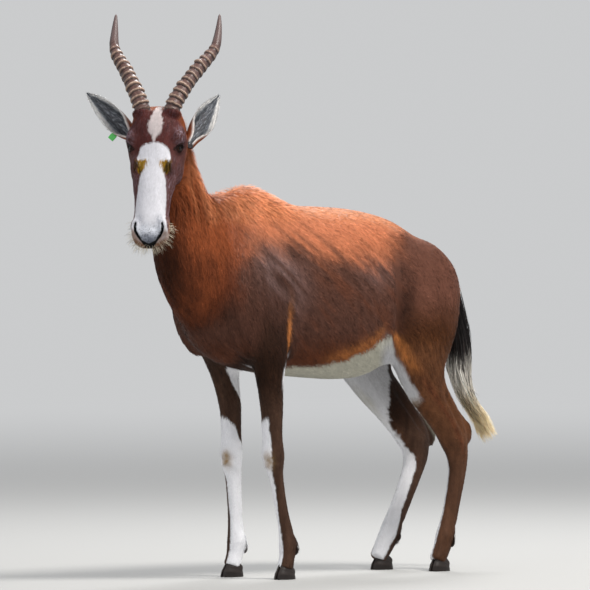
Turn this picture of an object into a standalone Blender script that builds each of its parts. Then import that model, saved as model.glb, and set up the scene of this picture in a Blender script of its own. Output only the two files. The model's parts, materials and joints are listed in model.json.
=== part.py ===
"""A blesbok, standing still with its head turned to its left, at life size.

Metres, +Z up. The animal faces -Y and its left side is +X. It is modelled about
its withers and then moved so that the origin lies on the floor under the middle
of its bounding box.
"""

import math
import random

import bmesh
import bpy
from mathutils import Matrix, Vector
from mathutils.bvhtree import BVHTree

# The gap that touching pieces keep.
GAP = 0.0003

# Resolution of the fused flesh, and the triangle counts it is reduced to.
BODY_VOXEL = 0.008
HEAD_VOXEL = 0.0032
BODY_TRIANGLES = 3800
HEAD_TRIANGLES = 2300
RING_SIDES = 28

# Head placing: the poll is the point between the horn bases, on the skin.
POLL = Vector((0.035, -0.348, 1.185))
HEAD_TURN = math.radians(35)
FACE_TILT = math.radians(22)

# Torso sections, front to back: y, top, bottom, half width, pinch towards the top.
TORSO = (
    (-0.205, 0.775, 0.685, 0.030, 0.00),
    (-0.190, 0.815, 0.640, 0.058, 0.00),
    (-0.150, 0.925, 0.585, 0.088, 0.30),
    (-0.100, 0.966, 0.552, 0.104, 0.50),
    (-0.050, 0.982, 0.532, 0.116, 0.58),
    (0.000, 0.996, 0.523, 0.125, 0.60),
    (0.050, 0.988, 0.514, 0.129, 0.52),
    (0.110, 0.962, 0.507, 0.135, 0.32),
    (0.180, 0.944, 0.502, 0.142, 0.18),
    (0.260, 0.940, 0.496, 0.148, 0.09),
    (0.340, 0.936, 0.492, 0.150, 0.04),
    (0.420, 0.927, 0.498, 0.147, 0.02),
    (0.490, 0.913, 0.532, 0.140, 0.00),
    (0.560, 0.892, 0.585, 0.130, 0.00),
    (0.620, 0.869, 0.630, 0.118, 0.00),
    (0.670, 0.845, 0.680, 0.102, 0.05),
    (0.706, 0.824, 0.712, 0.080, 0.05),
    (0.732, 0.807, 0.738, 0.054, 0.00),
    (0.748, 0.793, 0.756, 0.026, 0.00),
)

# Neck sections, chest to poll: x, y, z, half width, half depth.
NECK = (
    (0.000, -0.050, 0.680, 0.102, 0.135),
    (0.000, -0.105, 0.735, 0.099, 0.132),
    (0.000, -0.152, 0.785, 0.091, 0.126),
    (0.000, -0.184, 0.830, 0.083, 0.117),
    (0.000, -0.208, 0.890, 0.071, 0.102),
    (0.000, -0.227, 0.970, 0.057, 0.077),
    (-0.003, -0.246, 1.025, 0.053, 0.069),
    (-0.008, -0.256, 1.075, 0.050, 0.064),
    (-0.008, -0.268, 1.130, 0.046, 0.054),
    (-0.006, -0.280, 1.158, 0.036, 0.036),
)

# Shoulder and haunch muscles on one side: x, y, z, half width, half depth.
SHOULDER = (
    (0.030, 0.018, 0.945, 0.016, 0.040),
    (0.048, -0.003, 0.895, 0.028, 0.060),
    (0.064, -0.028, 0.835, 0.038, 0.074),
    (0.078, -0.052, 0.765, 0.046, 0.084),
    (0.086, -0.066, 0.700, 0.050, 0.086),
    (0.088, -0.054, 0.640, 0.050, 0.080),
    (0.086, -0.020, 0.590, 0.042, 0.066),
)
HAUNCH = (
    (0.068, 0.548, 0.838, 0.032, 0.056),
    (0.080, 0.576, 0.790, 0.050, 0.098),
    (0.088, 0.592, 0.730, 0.057, 0.122),
    (0.094, 0.588, 0.665, 0.058, 0.118),
    (0.098, 0.573, 0.610, 0.056, 0.108),
    (0.100, 0.568, 0.560, 0.050, 0.094),
)

# Limbs from the body to the coronet: x, y, z, half width, half depth.
FORELEG = {
    "left": (
        (0.086, -0.020, 0.640, 0.046, 0.075),
        (0.092, 0.002, 0.575, 0.042, 0.062),
        (0.093, 0.006, 0.527, 0.036, 0.048),
        (0.092, 0.0105, 0.485, 0.0310, 0.0400),
        (0.091, 0.0170, 0.426, 0.0283, 0.0312),
        (0.090, 0.0185, 0.380, 0.0267, 0.0290),
        (0.089, 0.0215, 0.345, 0.0270, 0.0285),
        (0.088, 0.0250, 0.310, 0.0288, 0.0320),
        (0.089, 0.0285, 0.283, 0.0240, 0.0270),
        (0.091, 0.0335, 0.255, 0.0180, 0.0215),
        (0.096, 0.0445, 0.186, 0.0166, 0.0193),
        (0.101, 0.0535, 0.135, 0.0175, 0.0205),
        (0.105, 0.0610, 0.088, 0.0228, 0.0265),
        (0.107, 0.0550, 0.056, 0.0206, 0.0230),
        (0.108, 0.046, 0.024, 0.0230, 0.0240),
    ),
    "right": (
        (-0.086, -0.008, 0.640, 0.046, 0.075),
        (-0.091, 0.020, 0.575, 0.042, 0.061),
        (-0.090, 0.031, 0.530, 0.035, 0.048),
        (-0.089, 0.0430, 0.485, 0.0305, 0.0390),
        (-0.088, 0.0545, 0.426, 0.0278, 0.0302),
        (-0.087, 0.0560, 0.380, 0.0265, 0.0283),
        (-0.086, 0.0560, 0.345, 0.0270, 0.0286),
        (-0.086, 0.0560, 0.310, 0.0288, 0.0322),
        (-0.086, 0.0580, 0.282, 0.0250, 0.0300),
        (-0.086, 0.0625, 0.254, 0.0198, 0.0255),
        (-0.086, 0.0675, 0.186, 0.0180, 0.0232),
        (-0.086, 0.0705, 0.135, 0.0185, 0.0235),
        (-0.086, 0.0750, 0.086, 0.0234, 0.0290),
        (-0.086, 0.0670, 0.054, 0.0210, 0.0248),
        (-0.086, 0.056, 0.024, 0.0230, 0.0240),
    ),
}
HINDLEG = {
    "left": (
        (0.086, 0.565, 0.680, 0.056, 0.105),
        (0.096, 0.560, 0.620, 0.058, 0.118),
        (0.100, 0.558, 0.575, 0.054, 0.109),
        (0.100, 0.562, 0.540, 0.049, 0.093),
        (0.097, 0.581, 0.485, 0.0405, 0.0690),
        (0.094, 0.618, 0.438, 0.0350, 0.0570),
        (0.091, 0.655, 0.400, 0.0310, 0.0520),
        (0.089, 0.681, 0.368, 0.0300, 0.0480),
        (0.087, 0.702, 0.335, 0.0285, 0.0440),
        (0.086, 0.716, 0.298, 0.0240, 0.0365),
        (0.085, 0.717, 0.250, 0.0210, 0.0288),
        (0.085, 0.699, 0.175, 0.0198, 0.0250),
        (0.086, 0.684, 0.128, 0.0203, 0.0262),
        (0.087, 0.668, 0.088, 0.0238, 0.0270),
        (0.088, 0.655, 0.056, 0.0212, 0.0262),
        (0.089, 0.635, 0.024, 0.0230, 0.0240),
    ),
    "right": (
        (-0.086, 0.565, 0.680, 0.056, 0.105),
        (-0.096, 0.560, 0.620, 0.058, 0.118),
        (-0.099, 0.560, 0.575, 0.054, 0.110),
        (-0.098, 0.566, 0.540, 0.049, 0.096),
        (-0.095, 0.595, 0.485, 0.0405, 0.0680),
        (-0.091, 0.645, 0.436, 0.0345, 0.0600),
        (-0.087, 0.683, 0.396, 0.0310, 0.0560),
        (-0.084, 0.713, 0.362, 0.0300, 0.0530),
        (-0.083, 0.737, 0.330, 0.0285, 0.0510),
        (-0.082, 0.742, 0.292, 0.0240, 0.0450),
        (-0.081, 0.729, 0.250, 0.0210, 0.0350),
        (-0.080, 0.697, 0.190, 0.0195, 0.0315),
        (-0.080, 0.668, 0.140, 0.0202, 0.0310),
        (-0.080, 0.645, 0.100, 0.0238, 0.0315),
        (-0.080, 0.621, 0.062, 0.0214, 0.0310),
        (-0.080, 0.594, 0.026, 0.0230, 0.0240),
    ),
}

# The point of each hock, from the row that crosses the hock.
HEEL = {"left": (0.0, 0.048, 0.018), "right": (0.0, 0.062, 0.013)}

# Head sections from the nape to the nose, in the head's own frame: distance from
# the poll along the face, face side, jaw side, half width, and the share of that
# width left at the jaw and at the face.
HEAD = (
    (-0.030, -0.056, -0.086, 0.028, 0.90, 0.90),
    (-0.018, -0.038, -0.102, 0.050, 0.90, 0.88),
    (0.004, -0.013, -0.118, 0.063, 0.85, 0.84),
    (0.030, -0.001, -0.127, 0.071, 0.80, 0.78),
    (0.058, 0.004, -0.132, 0.0745, 0.72, 0.74),
    (0.092, 0.003, -0.133, 0.0725, 0.68, 0.74),
    (0.124, 0.001, -0.129, 0.065, 0.64, 0.80),
    (0.158, -0.001, -0.120, 0.0575, 0.60, 0.86),
    (0.193, -0.001, -0.107, 0.052, 0.56, 0.90),
    (0.228, -0.001, -0.095, 0.047, 0.58, 0.92),
    (0.263, -0.001, -0.084, 0.0445, 0.66, 0.94),
    (0.294, -0.003, -0.078, 0.0465, 0.70, 0.92),
    (0.320, -0.009, -0.074, 0.0455, 0.70, 0.86),
    (0.341, -0.020, -0.068, 0.037, 0.72, 0.80),
    (0.353, -0.034, -0.058, 0.020, 0.80, 0.80),
)
# The head keeps what lies above and ahead of this line: forward and up from the poll.
HEAD_EDGE = (
    (-0.080, 0.300),
    (-0.086, -0.050),
    (-0.096, -0.125),
    (-0.079, -0.168),
    (-0.057, -0.198),
    (-0.031, -0.227),
    (-0.003, -0.255),
    (0.022, -0.284),
    (0.030, -0.400),
    (0.400, -0.400),
    (0.400, 0.300),
)

EYE_RADIUS = 0.0180
EYE_PLACE = (0.0480, 0.094, -0.034)
EYE_GAZE = (0.90, 0.05, 0.38)
LID_THICKNESS = 0.0032
EYE_OPENING = (0.0145, 0.0100)

# Horn curve: sideways, up and back from the poll, from skull to tip.
HORN = (
    (0.0330, -0.034, 0.030),
    (0.0365, -0.006, 0.029),
    (0.0485, 0.025, 0.038),
    (0.0689, 0.062, 0.063),
    (0.0918, 0.098, 0.097),
    (0.1180, 0.133, 0.134),
    (0.1288, 0.158, 0.158),
    (0.1316, 0.196, 0.186),
    (0.1316, 0.237, 0.206),
)
HORN_BASE_RADIUS = 0.0190
HORN_RINGS = 12
HORN_RINGED_SHARE = 0.74
HORN_SIDES = 12

# Ears: base and tip of the ear's back, as sideways, up and back from the poll, and
# the way the ear opens.
EARS = {
    "left": {
        "base": (0.074, -0.082, 0.066),
        "tip": (0.133, 0.029, 0.160),
        "open": (0.42, 0.10, -0.90),
    },
    "right": {
        "base": (-0.062, -0.067, 0.064),
        "tip": (-0.186, 0.036, 0.108),
        "open": (-0.10, -0.10, -0.99),
    },
}
EAR_HALF_WIDTH = 0.029
EAR_THICKNESS = 0.0032
# The ear's outline: place along it, share of the half width, how far round it curls.
EAR_OUTLINE = (
    (-0.12, 0.55, 165),
    (0.00, 0.64, 158),
    (0.10, 0.80, 140),
    (0.22, 0.94, 118),
    (0.36, 1.00, 99),
    (0.50, 0.97, 84),
    (0.64, 0.84, 72),
    (0.77, 0.64, 63),
    (0.88, 0.39, 57),
    (0.96, 0.17, 53),
    (1.00, 0.04, 50),
)

# The tail's line, and the dock's radius at the first of its points.
TAIL_LINE = (
    (0.000, 0.700, 0.800),
    (0.000, 0.752, 0.780),
    (0.000, 0.786, 0.738),
    (0.000, 0.800, 0.680),
    (0.004, 0.804, 0.620),
    (0.008, 0.803, 0.560),
    (0.014, 0.806, 0.500),
    (0.029, 0.820, 0.440),
    (0.054, 0.845, 0.385),
    (0.079, 0.871, 0.331),
)
DOCK_RADIUS = (0.022, 0.020, 0.0175, 0.0160, 0.0145, 0.012, 0.008)
TAIL_LOCKS = 20

FLESH_PARTS = {
    "torso": (0.0, 0.30, 0.74),
    "neck": (0.0, -0.20, 0.96),
}


def clear_scene():
    for obj in list(bpy.data.objects):
        bpy.data.objects.remove(obj)


def material(name, colour, roughness):
    made = bpy.data.materials.new(name)
    made.use_nodes = True
    shader = made.node_tree.nodes["Principled BSDF"]
    shader.inputs["Base Color"].default_value = (*colour, 1.0)
    shader.inputs["Roughness"].default_value = roughness
    shader.inputs["Metallic"].default_value = 0.0
    return made


def object_from(name, bm):
    mesh = bpy.data.meshes.new(name)
    bm.to_mesh(mesh)
    bm.free()
    obj = bpy.data.objects.new(name, mesh)
    bpy.context.scene.collection.objects.link(obj)
    return obj


def evaluated(obj):
    """The object with its modifiers applied."""
    bpy.context.view_layer.update()
    graph = bpy.context.evaluated_depsgraph_get()
    mesh = bpy.data.meshes.new_from_object(obj.evaluated_get(graph))
    obj.modifiers.clear()
    obj.data = mesh
    return obj


def joined(name, objects):
    """One object that holds the meshes of these, which are removed."""
    bm = bmesh.new()
    for obj in objects:
        bm.from_mesh(obj.data)
        bpy.data.objects.remove(obj)
    return object_from(name, bm)


def smooth_curve(points, steps):
    """Points along a Catmull-Rom curve through rows of numbers of any length."""
    rows = [list(p) for p in points]
    padded = [
        [2 * a - b for a, b in zip(rows[0], rows[1])],
        *rows,
        [2 * a - b for a, b in zip(rows[-1], rows[-2])],
    ]
    made = []
    for k in range(len(rows) - 1):
        p0, p1, p2, p3 = padded[k : k + 4]
        for step in range(steps):
            t = step / steps
            made.append(
                [
                    0.5
                    * (
                        2 * b
                        + (c - a) * t
                        + (2 * a - 5 * b + 4 * c - d) * t * t
                        + (3 * b - a - 3 * c + d) * t**3
                    )
                    for a, b, c, d in zip(p0, p1, p2, p3)
                ]
            )
    made.append(rows[-1])
    return made


def loft(name, rings):
    """A closed tube through rings of points, with a flat cap at each end."""
    bm = bmesh.new()
    loops = [[bm.verts.new(point) for point in ring] for ring in rings]
    count = len(loops[0])
    for low, high in zip(loops, loops[1:]):
        for k in range(count):
            after = (k + 1) % count
            bm.faces.new((low[k], low[after], high[after], high[k]))
    bm.faces.new(list(reversed(loops[0])))
    bm.faces.new(loops[-1])
    if bm.calc_volume(signed=True) < 0:
        bmesh.ops.reverse_faces(bm, faces=bm.faces)
    return object_from(name, bm)


def around(sides):
    """Sine and cosine of evenly spaced angles."""
    for k in range(sides):
        angle = 2 * math.pi * k / sides
        yield math.sin(angle), math.cos(angle)


def rounded(value, power):
    return math.copysign(abs(value) ** power, value)


def torso_ring(y, top, bottom, half, pinch):
    middle, reach = (top + bottom) / 2, (top - bottom) / 2
    return [
        Vector((half * rounded(s, 0.85) * (1 - pinch * max(c, 0)), y, middle + reach * rounded(c, 0.92)))
        for s, c in around(RING_SIDES)
    ]


def torso():
    return loft("torso_form", [torso_ring(*row) for row in smooth_curve(TORSO, 2)])


def limb(name, rows, sides=RING_SIDES):
    """A tube of elliptical rings, each square to the line through the rows."""
    path = smooth_curve(rows, 3)
    centres = [Vector(row[:3]) for row in path]
    rings = []
    for k, row in enumerate(path):
        along = centres[min(k + 1, len(path) - 1)] - centres[max(k - 1, 0)]
        along.normalize()
        wide = Vector((1, 0, 0)) - along * along.x
        wide.normalize()
        deep = along.cross(wide)
        rings.append([centres[k] + wide * row[3] * s + deep * row[4] * c for s, c in around(sides)])
    return loft(name, rings)


def mirrored(rows, side):
    return [(row[0] * side, *row[1:]) for row in rows]


def ellipsoid(name, centre, radii, turn=Matrix.Identity(3), segments=20):
    bm = bmesh.new()
    bmesh.ops.create_uvsphere(bm, u_segments=segments, v_segments=segments // 2 + 2, radius=1.0)
    place = Matrix.Translation(centre) @ turn.to_4x4() @ Matrix.Diagonal((*radii, 1.0))
    bmesh.ops.transform(bm, matrix=place, verts=bm.verts)
    return object_from(name, bm)


def head_axes():
    """Unit vectors: to the animal's left, down the face, and out of the face."""
    heading = Vector((math.sin(HEAD_TURN), -math.cos(HEAD_TURN), 0))
    up = Vector((0, 0, 1))
    left = up.cross(heading)
    down_face = heading * math.sin(FACE_TILT) - up * math.cos(FACE_TILT)
    out = heading * math.cos(FACE_TILT) + up * math.sin(FACE_TILT)
    return left, down_face, out


def head_point(side, along, out):
    left, down_face, face = head_axes()
    return POLL + left * side + down_face * along + face * out


def poll_point(side, up, back):
    """A point placed sideways, straight up and straight back from the poll."""
    heading = Vector((math.sin(HEAD_TURN), -math.cos(HEAD_TURN), 0))
    return POLL + head_axes()[0] * side + Vector((0, 0, up)) - heading * back


def head_ring(along, face, jaw, half, jaw_share, face_share):
    middle, reach = (face + jaw) / 2, (face - jaw) / 2
    ring = []
    for s, c in around(RING_SIDES):
        width = half * (1 - (1 - (face_share if c > 0 else jaw_share)) * c * c)
        ring.append(head_point(width * rounded(s, 0.72), along, middle + reach * rounded(c, 0.80)))
    return ring


def head_turn():
    """The rotation from the head's own frame, as a matrix."""
    return Matrix(head_axes()).transposed()


def head_forms():
    """The skull, and the swellings of brow, cheek, muzzle and lips on it."""
    forms = [loft("skull_form", [head_ring(*row) for row in smooth_curve(HEAD, 3)])]
    turn = head_turn()
    for side in (-1, 1):
        for place, radii in (
            ((0.056, 0.072, -0.024), (0.018, 0.022, 0.018)),
            ((0.058, 0.062, -0.052), (0.020, 0.040, 0.034)),
            ((0.050, 0.122, -0.072), (0.016, 0.050, 0.044)),
            ((0.038, 0.146, -0.020), (0.016, 0.030, 0.014)),
            ((0.031, 0.306, -0.022), (0.017, 0.026, 0.017)),
            ((0.027, 0.302, -0.052), (0.017, 0.034, 0.016)),
            ((0.037, 0.006, -0.030), (0.026, 0.017, 0.027)),
        ):
            centre = head_point(place[0] * side, place[1], place[2])
            forms.append(ellipsoid("swelling", centre, radii, turn))
    forms.append(ellipsoid("occiput", head_point(0, 0.026, -0.094), (0.046, 0.054, 0.034), turn))
    forms.append(ellipsoid("chin", head_point(0, 0.320, -0.062), (0.025, 0.026, 0.016), turn))
    forms.append(ellipsoid("nose", head_point(0, 0.326, -0.026), (0.032, 0.024, 0.020), turn))
    return forms


def body_forms():
    forms = [torso(), limb("neck_form", NECK)]
    forms.append(ellipsoid("crest", Vector((0, -0.086, 0.933)), (0.036, 0.088, 0.042)))
    for side, sign in (("left", 1), ("right", -1)):
        forms.append(limb("shoulder_form", mirrored(SHOULDER, sign)))
        forms.append(limb("haunch_form", mirrored(HAUNCH, sign)))
        forms.append(limb("foreleg_form", FORELEG[side]))
        forms.append(limb("hindleg_form", HINDLEG[side]))
        hock = Vector(HINDLEG[side][8][:3])
        heel = hock + Vector(HEEL[side])
        forms.append(ellipsoid("hock_point", heel, (0.0135, 0.024, 0.034)))
        thigh = HINDLEG[side][5]
        start = Vector((thigh[0], thigh[1] + thigh[4] - 0.014, thigh[2]))
        end = heel + Vector((0, 0.008, 0.014))
        forms.append(limb("heel_cord", [(*start.lerp(end, k / 4), 0.0120, 0.0140) for k in range(5)]))
        knee = Vector(FORELEG[side][7][:3])
        forms.append(ellipsoid("knee_back", knee + Vector((0, 0.020, 0)), (0.015, 0.014, 0.020)))
        hip = Vector((0.094 * sign, 0.470, 0.850))
        forms.append(ellipsoid("hip_point", hip, (0.026, 0.036, 0.030)))
        seat = Vector((0.062 * sign, 0.670, 0.705))
        forms.append(ellipsoid("seat_bone", seat, (0.044, 0.048, 0.090)))
    forms.append(limb("dock_form", [(*p, 0.020, 0.020) for p in TAIL_LINE[:2]]))
    return forms


def softness(point):
    """How strongly the fused flesh is smoothed here: most where the forms meet."""
    if point.z < 0.43:
        return 0.12
    if point.z < 0.51:
        return 0.12 + 0.88 * (point.z - 0.43) / 0.08
    if point.z > 1.05:
        return 0.35
    return 1.0


def fused(name, forms, voxel, passes, weight):
    """The forms as one smooth closed skin."""
    obj = joined(name, forms)
    remesh = obj.modifiers.new("fuse", "REMESH")
    remesh.mode = "VOXEL"
    remesh.voxel_size = voxel
    evaluated(obj)
    group = obj.vertex_groups.new(name="soft")
    for vertex in obj.data.vertices:
        group.add([vertex.index], weight(vertex.co), "REPLACE")
    smooth = obj.modifiers.new("soften", "SMOOTH")
    smooth.factor = 0.5
    smooth.iterations = passes
    smooth.vertex_group = "soft"
    evaluated(obj)
    obj.vertex_groups.clear()
    return obj


def reduced(obj, triangles):
    obj.data.calc_loop_triangles()
    decimate = obj.modifiers.new("reduce", "DECIMATE")
    decimate.ratio = triangles / len(obj.data.loop_triangles)
    decimate.use_collapse_triangulate = True
    return evaluated(obj)


def boolean(obj, other, operation):
    """Applies one Boolean and removes the other object."""
    cut = obj.modifiers.new("cut", "BOOLEAN")
    cut.operation = operation
    cut.object = other
    cut.solver = "EXACT"
    evaluated(obj)
    bpy.data.objects.remove(other)
    return largest(obj)


def pieces_of(bm):
    """The connected sets of faces, largest first."""
    left, found = set(bm.faces), []
    while left:
        stack, piece = [left.pop()], []
        while stack:
            face = stack.pop()
            piece.append(face)
            for edge in face.edges:
                for near in edge.link_faces:
                    if near in left:
                        left.remove(near)
                        stack.append(near)
        found.append(piece)
    return sorted(found, key=lambda piece: -sum(face.calc_area() for face in piece))


def largest(obj):
    """Keeps only the largest closed surface of the object."""
    bm = bmesh.new()
    bm.from_mesh(obj.data)
    for piece in pieces_of(bm)[1:]:
        bmesh.ops.delete(bm, geom=piece, context="FACES")
    bm.to_mesh(obj.data)
    bm.free()
    return obj


def slab(centre, normal, across, up):
    """A box as thin as the gap, square to normal, that parts one piece from the next."""
    bm = bmesh.new()
    bmesh.ops.create_cube(bm, size=1.0)
    turn = Vector(normal).to_track_quat("Z", "Y").to_matrix().to_4x4()
    size = Matrix.Diagonal((across, up, GAP, 1.0))
    bmesh.ops.transform(bm, matrix=Matrix.Translation(centre) @ turn @ size, verts=bm.verts)
    return object_from("slab", bm)


def copied(obj, grow=0.0):
    """A copy of the object, each point moved out along its normal by grow."""
    made = obj.copy()
    made.data = obj.data.copy()
    bpy.context.scene.collection.objects.link(made)
    if grow:
        normals = [vertex.normal.copy() for vertex in made.data.vertices]
        for vertex, normal in zip(made.data.vertices, normals):
            vertex.co += normal * grow
    return made


def finish(obj, name, surface, smooth_angle=50):
    obj.name = name
    obj.data.name = name
    obj.data.materials.clear()
    obj.data.materials.append(surface)
    obj.data.shade_smooth()
    obj.data.set_sharp_from_angle(angle=math.radians(smooth_angle))
    return obj


# The planes that part the limbs: at the body, at the knee or hock, and at the coronet.
CORONET_HEIGHT = 0.044
CORONET_SLOPE = 0.42


def limb_cuts():
    cuts = []
    for side, sign in (("left", 1), ("right", -1)):
        fore, hind = FORELEG[side], HINDLEG[side]
        elbow = Vector((0.100 * sign, fore[1][1] + 0.005, 0.540))
        cuts.append(slab(elbow, (-0.57 * sign, 0, 0.82), 0.27, 0.210))
        thigh = Vector((0.105 * sign, 0.590, 0.545))
        cuts.append(slab(thigh, (-0.66 * sign, 0, 0.75), 0.28, 0.290))
        cuts.append(slab(Vector(fore[7][:3]) - Vector((0, 0, 0.014)), (0, -0.05, 1), 0.09, 0.10))
        cuts.append(slab(Vector(hind[8][:3]) - Vector((0, 0, 0.020)), (0, 0.25, 1), 0.09, 0.24))
        for leg in (fore, hind):
            foot = Vector((leg[-2][0], leg[-2][1] - 0.008, CORONET_HEIGHT))
            cuts.append(slab(foot, (0, CORONET_SLOPE, 1), 0.09, 0.10))
    return cuts


def neck_cut():
    return slab(Vector((0, -0.145, 0.850)), (0, -0.86, 0.50), 0.40, 0.50)


def head_region(shift):
    """A block that holds the head, moved a little forward and up, or back and down."""
    heading = Vector((math.sin(HEAD_TURN), -math.cos(HEAD_TURN), 0))
    left = head_axes()[0]
    up = Vector((0, 0, 1))
    place = POLL + (heading * 0.8 + up * 0.6) * shift
    rings = []
    for side in (-0.25, 0.25):
        rings.append([place + left * side + heading * ahead + up * rise for ahead, rise in HEAD_EDGE])
    return loft("head_region", rings)


def leg_seeds():
    seeds = {}
    for side in ("left", "right"):
        for leg, rows, upper, lower in (
            ("foreleg", FORELEG[side], 5, 10),
            ("hindleg", HINDLEG[side], 5, 11),
        ):
            seeds[f"{leg}_{side}_upper"] = rows[upper][:3]
            seeds[f"{leg}_{side}_lower"] = rows[lower][:3]
    return seeds


def part_body(body):
    """Parts the fused body with thin cuts, and names each piece by its place."""
    body = boolean(body, head_region(-GAP * 0.7), "DIFFERENCE")
    cutter = joined("cutter", [*limb_cuts(), neck_cut()])
    cut = body.modifiers.new("cut", "BOOLEAN")
    cut.operation = "DIFFERENCE"
    cut.object = cutter
    cut.solver = "EXACT"
    evaluated(body)
    bpy.data.objects.remove(cutter)
    bm = bmesh.new()
    bm.from_mesh(body.data)
    seeds = {**FLESH_PARTS, **leg_seeds()}
    parts, taken = {}, set()
    for piece in pieces_of(bm):
        points = {vertex.index for face in piece for vertex in face.verts}
        corners = [body.data.vertices[k].co for k in points]
        low = Vector([min(p[a] for p in corners) for a in range(3)])
        high = Vector([max(p[a] for p in corners) for a in range(3)])
        free = [name for name in seeds if name not in taken]
        if not free:
            break
        name = min(free, key=lambda key: ((low + high) / 2 - Vector(seeds[key])).length)
        taken.add(name)
        parts[name] = object_from(name, only_faces(bm, piece))
    bm.free()
    bpy.data.objects.remove(body)
    return parts


def only_faces(bm, piece):
    kept = {face.index for face in piece}
    made = bm.copy()
    made.faces.ensure_lookup_table()
    bmesh.ops.delete(made, geom=[f for f in made.faces if f.index not in kept], context="FACES")
    return made


def almond(half_length, half_height, sides=16):
    """The outline of an eye's opening, pointed at both ends."""
    for s, c in around(sides):
        yield half_length * c, half_height * rounded(s, 1.25)


def prism(name, outline, centre, turn, depth):
    """An outline in the plane of turn's first two columns, pushed out along the third."""
    rings = []
    for level in (-depth / 2, depth / 2):
        rings.append([centre + turn @ Vector((x, y, level)) for x, y in outline])
    return loft(name, rings)


def eye_frame(side):
    """The eye's centre, and its frame: along the lids, up, and out along the gaze."""
    left, down_face, face = head_axes()
    centre = head_point(EYE_PLACE[0] * side, EYE_PLACE[1], EYE_PLACE[2])
    gaze = (left * EYE_GAZE[0] * side + down_face * EYE_GAZE[1] + face * EYE_GAZE[2]).normalized()
    length = (face * 0.90 + down_face * 0.45)
    length = (length - gaze * length.dot(gaze)).normalized()
    height = gaze.cross(length)
    return centre, Matrix((length, height, gaze)).transposed()


def cut_eye(head, side):
    """Lids that follow the eyeball, and the socket and opening inside them."""
    centre, turn = eye_frame(side)
    lid = EYE_RADIUS + LID_THICKNESS
    head = boolean(head, ellipsoid("lid", centre, (lid, lid, lid), turn), "UNION")
    opening = prism("opening", list(almond(*EYE_OPENING)), centre + turn @ Vector((0, 0, lid)), turn, 0.03)
    head = boolean(head, opening, "DIFFERENCE")
    hole = EYE_RADIUS + GAP
    return boolean(head, ellipsoid("socket", centre, (hole, hole, hole), turn), "DIFFERENCE")


def nostril_cutter(side):
    """A curved slit along the wing of one nostril."""
    rows = (
        (0.0345, 0.294, 0.004),
        (0.0360, 0.305, -0.002),
        (0.0320, 0.318, -0.008),
        (0.0245, 0.330, -0.016),
        (0.0160, 0.339, -0.024),
    )
    widths = (0.0016, 0.0040, 0.0042, 0.0030, 0.0012)
    rings = []
    for (across, along, out), width in zip(rows, widths):
        ring = []
        for s, c in around(8):
            ring.append(head_point((across + width * s) * side, along - width * 0.4 * s, out + 0.010 * c))
        rings.append(ring)
    return loft("nostril", rings)


def mouth_cutter():
    """A thin band round the front of the muzzle that makes the line between the lips."""
    steps = 16
    angles = [math.pi * (k / steps - 0.5) for k in range(steps + 1)]
    band = [(0.070 * math.sin(angle), 0.264 + 0.110 * math.cos(angle)) for angle in angles]
    band += [(0.030 * math.sin(angle), 0.264 + 0.078 * math.cos(angle)) for angle in reversed(angles)]
    rings = []
    for rise in (-0.0011, 0.0011):
        rings.append([head_point(x, along, mouth_level(x, along) + rise) for x, along in band])
    return loft("mouth", rings)


def mouth_level(across, along):
    """How far below the face the lips meet, lower towards the mouth's corners."""
    return -0.047 - 0.16 * (0.343 - along) + 0.10 * abs(across)


def make_head():
    head = fused("head", head_forms() + [limb("neck_stub", NECK[4:])], HEAD_VOXEL, 5, lambda p: 1.0)
    head = boolean(reduced(head, HEAD_TRIANGLES), head_region(GAP * 0.7), "INTERSECT")
    for side in (1, -1):
        head = cut_eye(head, side)
        head = boolean(head, nostril_cutter(side), "DIFFERENCE")
    return boolean(head, mouth_cutter(), "DIFFERENCE")


def make_eye(side):
    centre, turn = eye_frame(side)
    bm = bmesh.new()
    bmesh.ops.create_uvsphere(bm, u_segments=16, v_segments=10, radius=EYE_RADIUS)
    bmesh.ops.transform(bm, matrix=Matrix.Translation(centre) @ turn.to_4x4(), verts=bm.verts)
    return object_from("eye", bm)


def horn_rows():
    """Centres along the horn with a radius each: a valley and a crest for each ring."""
    path = [Vector(row) for row in smooth_curve(HORN, 12)]
    lengths = [0.0]
    for a, b in zip(path, path[1:]):
        lengths.append(lengths[-1] + (b - a).length)
    whole = lengths[-1]
    shares = [0.0, 0.045]
    bumps = [0.0, 0.0]
    start = 0.085
    for ring in range(HORN_RINGS):
        # The rings lie closer together towards the skull.
        low = start + (HORN_RINGED_SHARE - start) * (ring / HORN_RINGS) ** 1.18
        high = start + (HORN_RINGED_SHARE - start) * ((ring + 1) / HORN_RINGS) ** 1.18
        span = high - low
        for part, bump in ((0.10, -0.0014), (0.52, 0.0040), (0.74, 0.0036)):
            shares.append(low + span * part)
            bumps.append(bump * (1 - 0.35 * ring / HORN_RINGS))
    for share in (0.80, 0.86, 0.92, 0.965, 0.99):
        shares.append(share)
        bumps.append(0.0)
    rows = []
    for share, bump in zip(shares, bumps):
        goal = share * whole
        k = max(i for i in range(len(path)) if lengths[i] <= goal + 1e-9)
        k = min(k, len(path) - 2)
        t = (goal - lengths[k]) / (lengths[k + 1] - lengths[k])
        centre = path[k].lerp(path[k + 1], t)
        along = (path[k + 1] - path[k]).normalized()
        radius = HORN_BASE_RADIUS * (1 - share**2.2) ** 0.75 + 0.0020
        if share == 0.0:
            radius *= 0.6
        rows.append((centre, along, radius, bump))
    return rows


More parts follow.
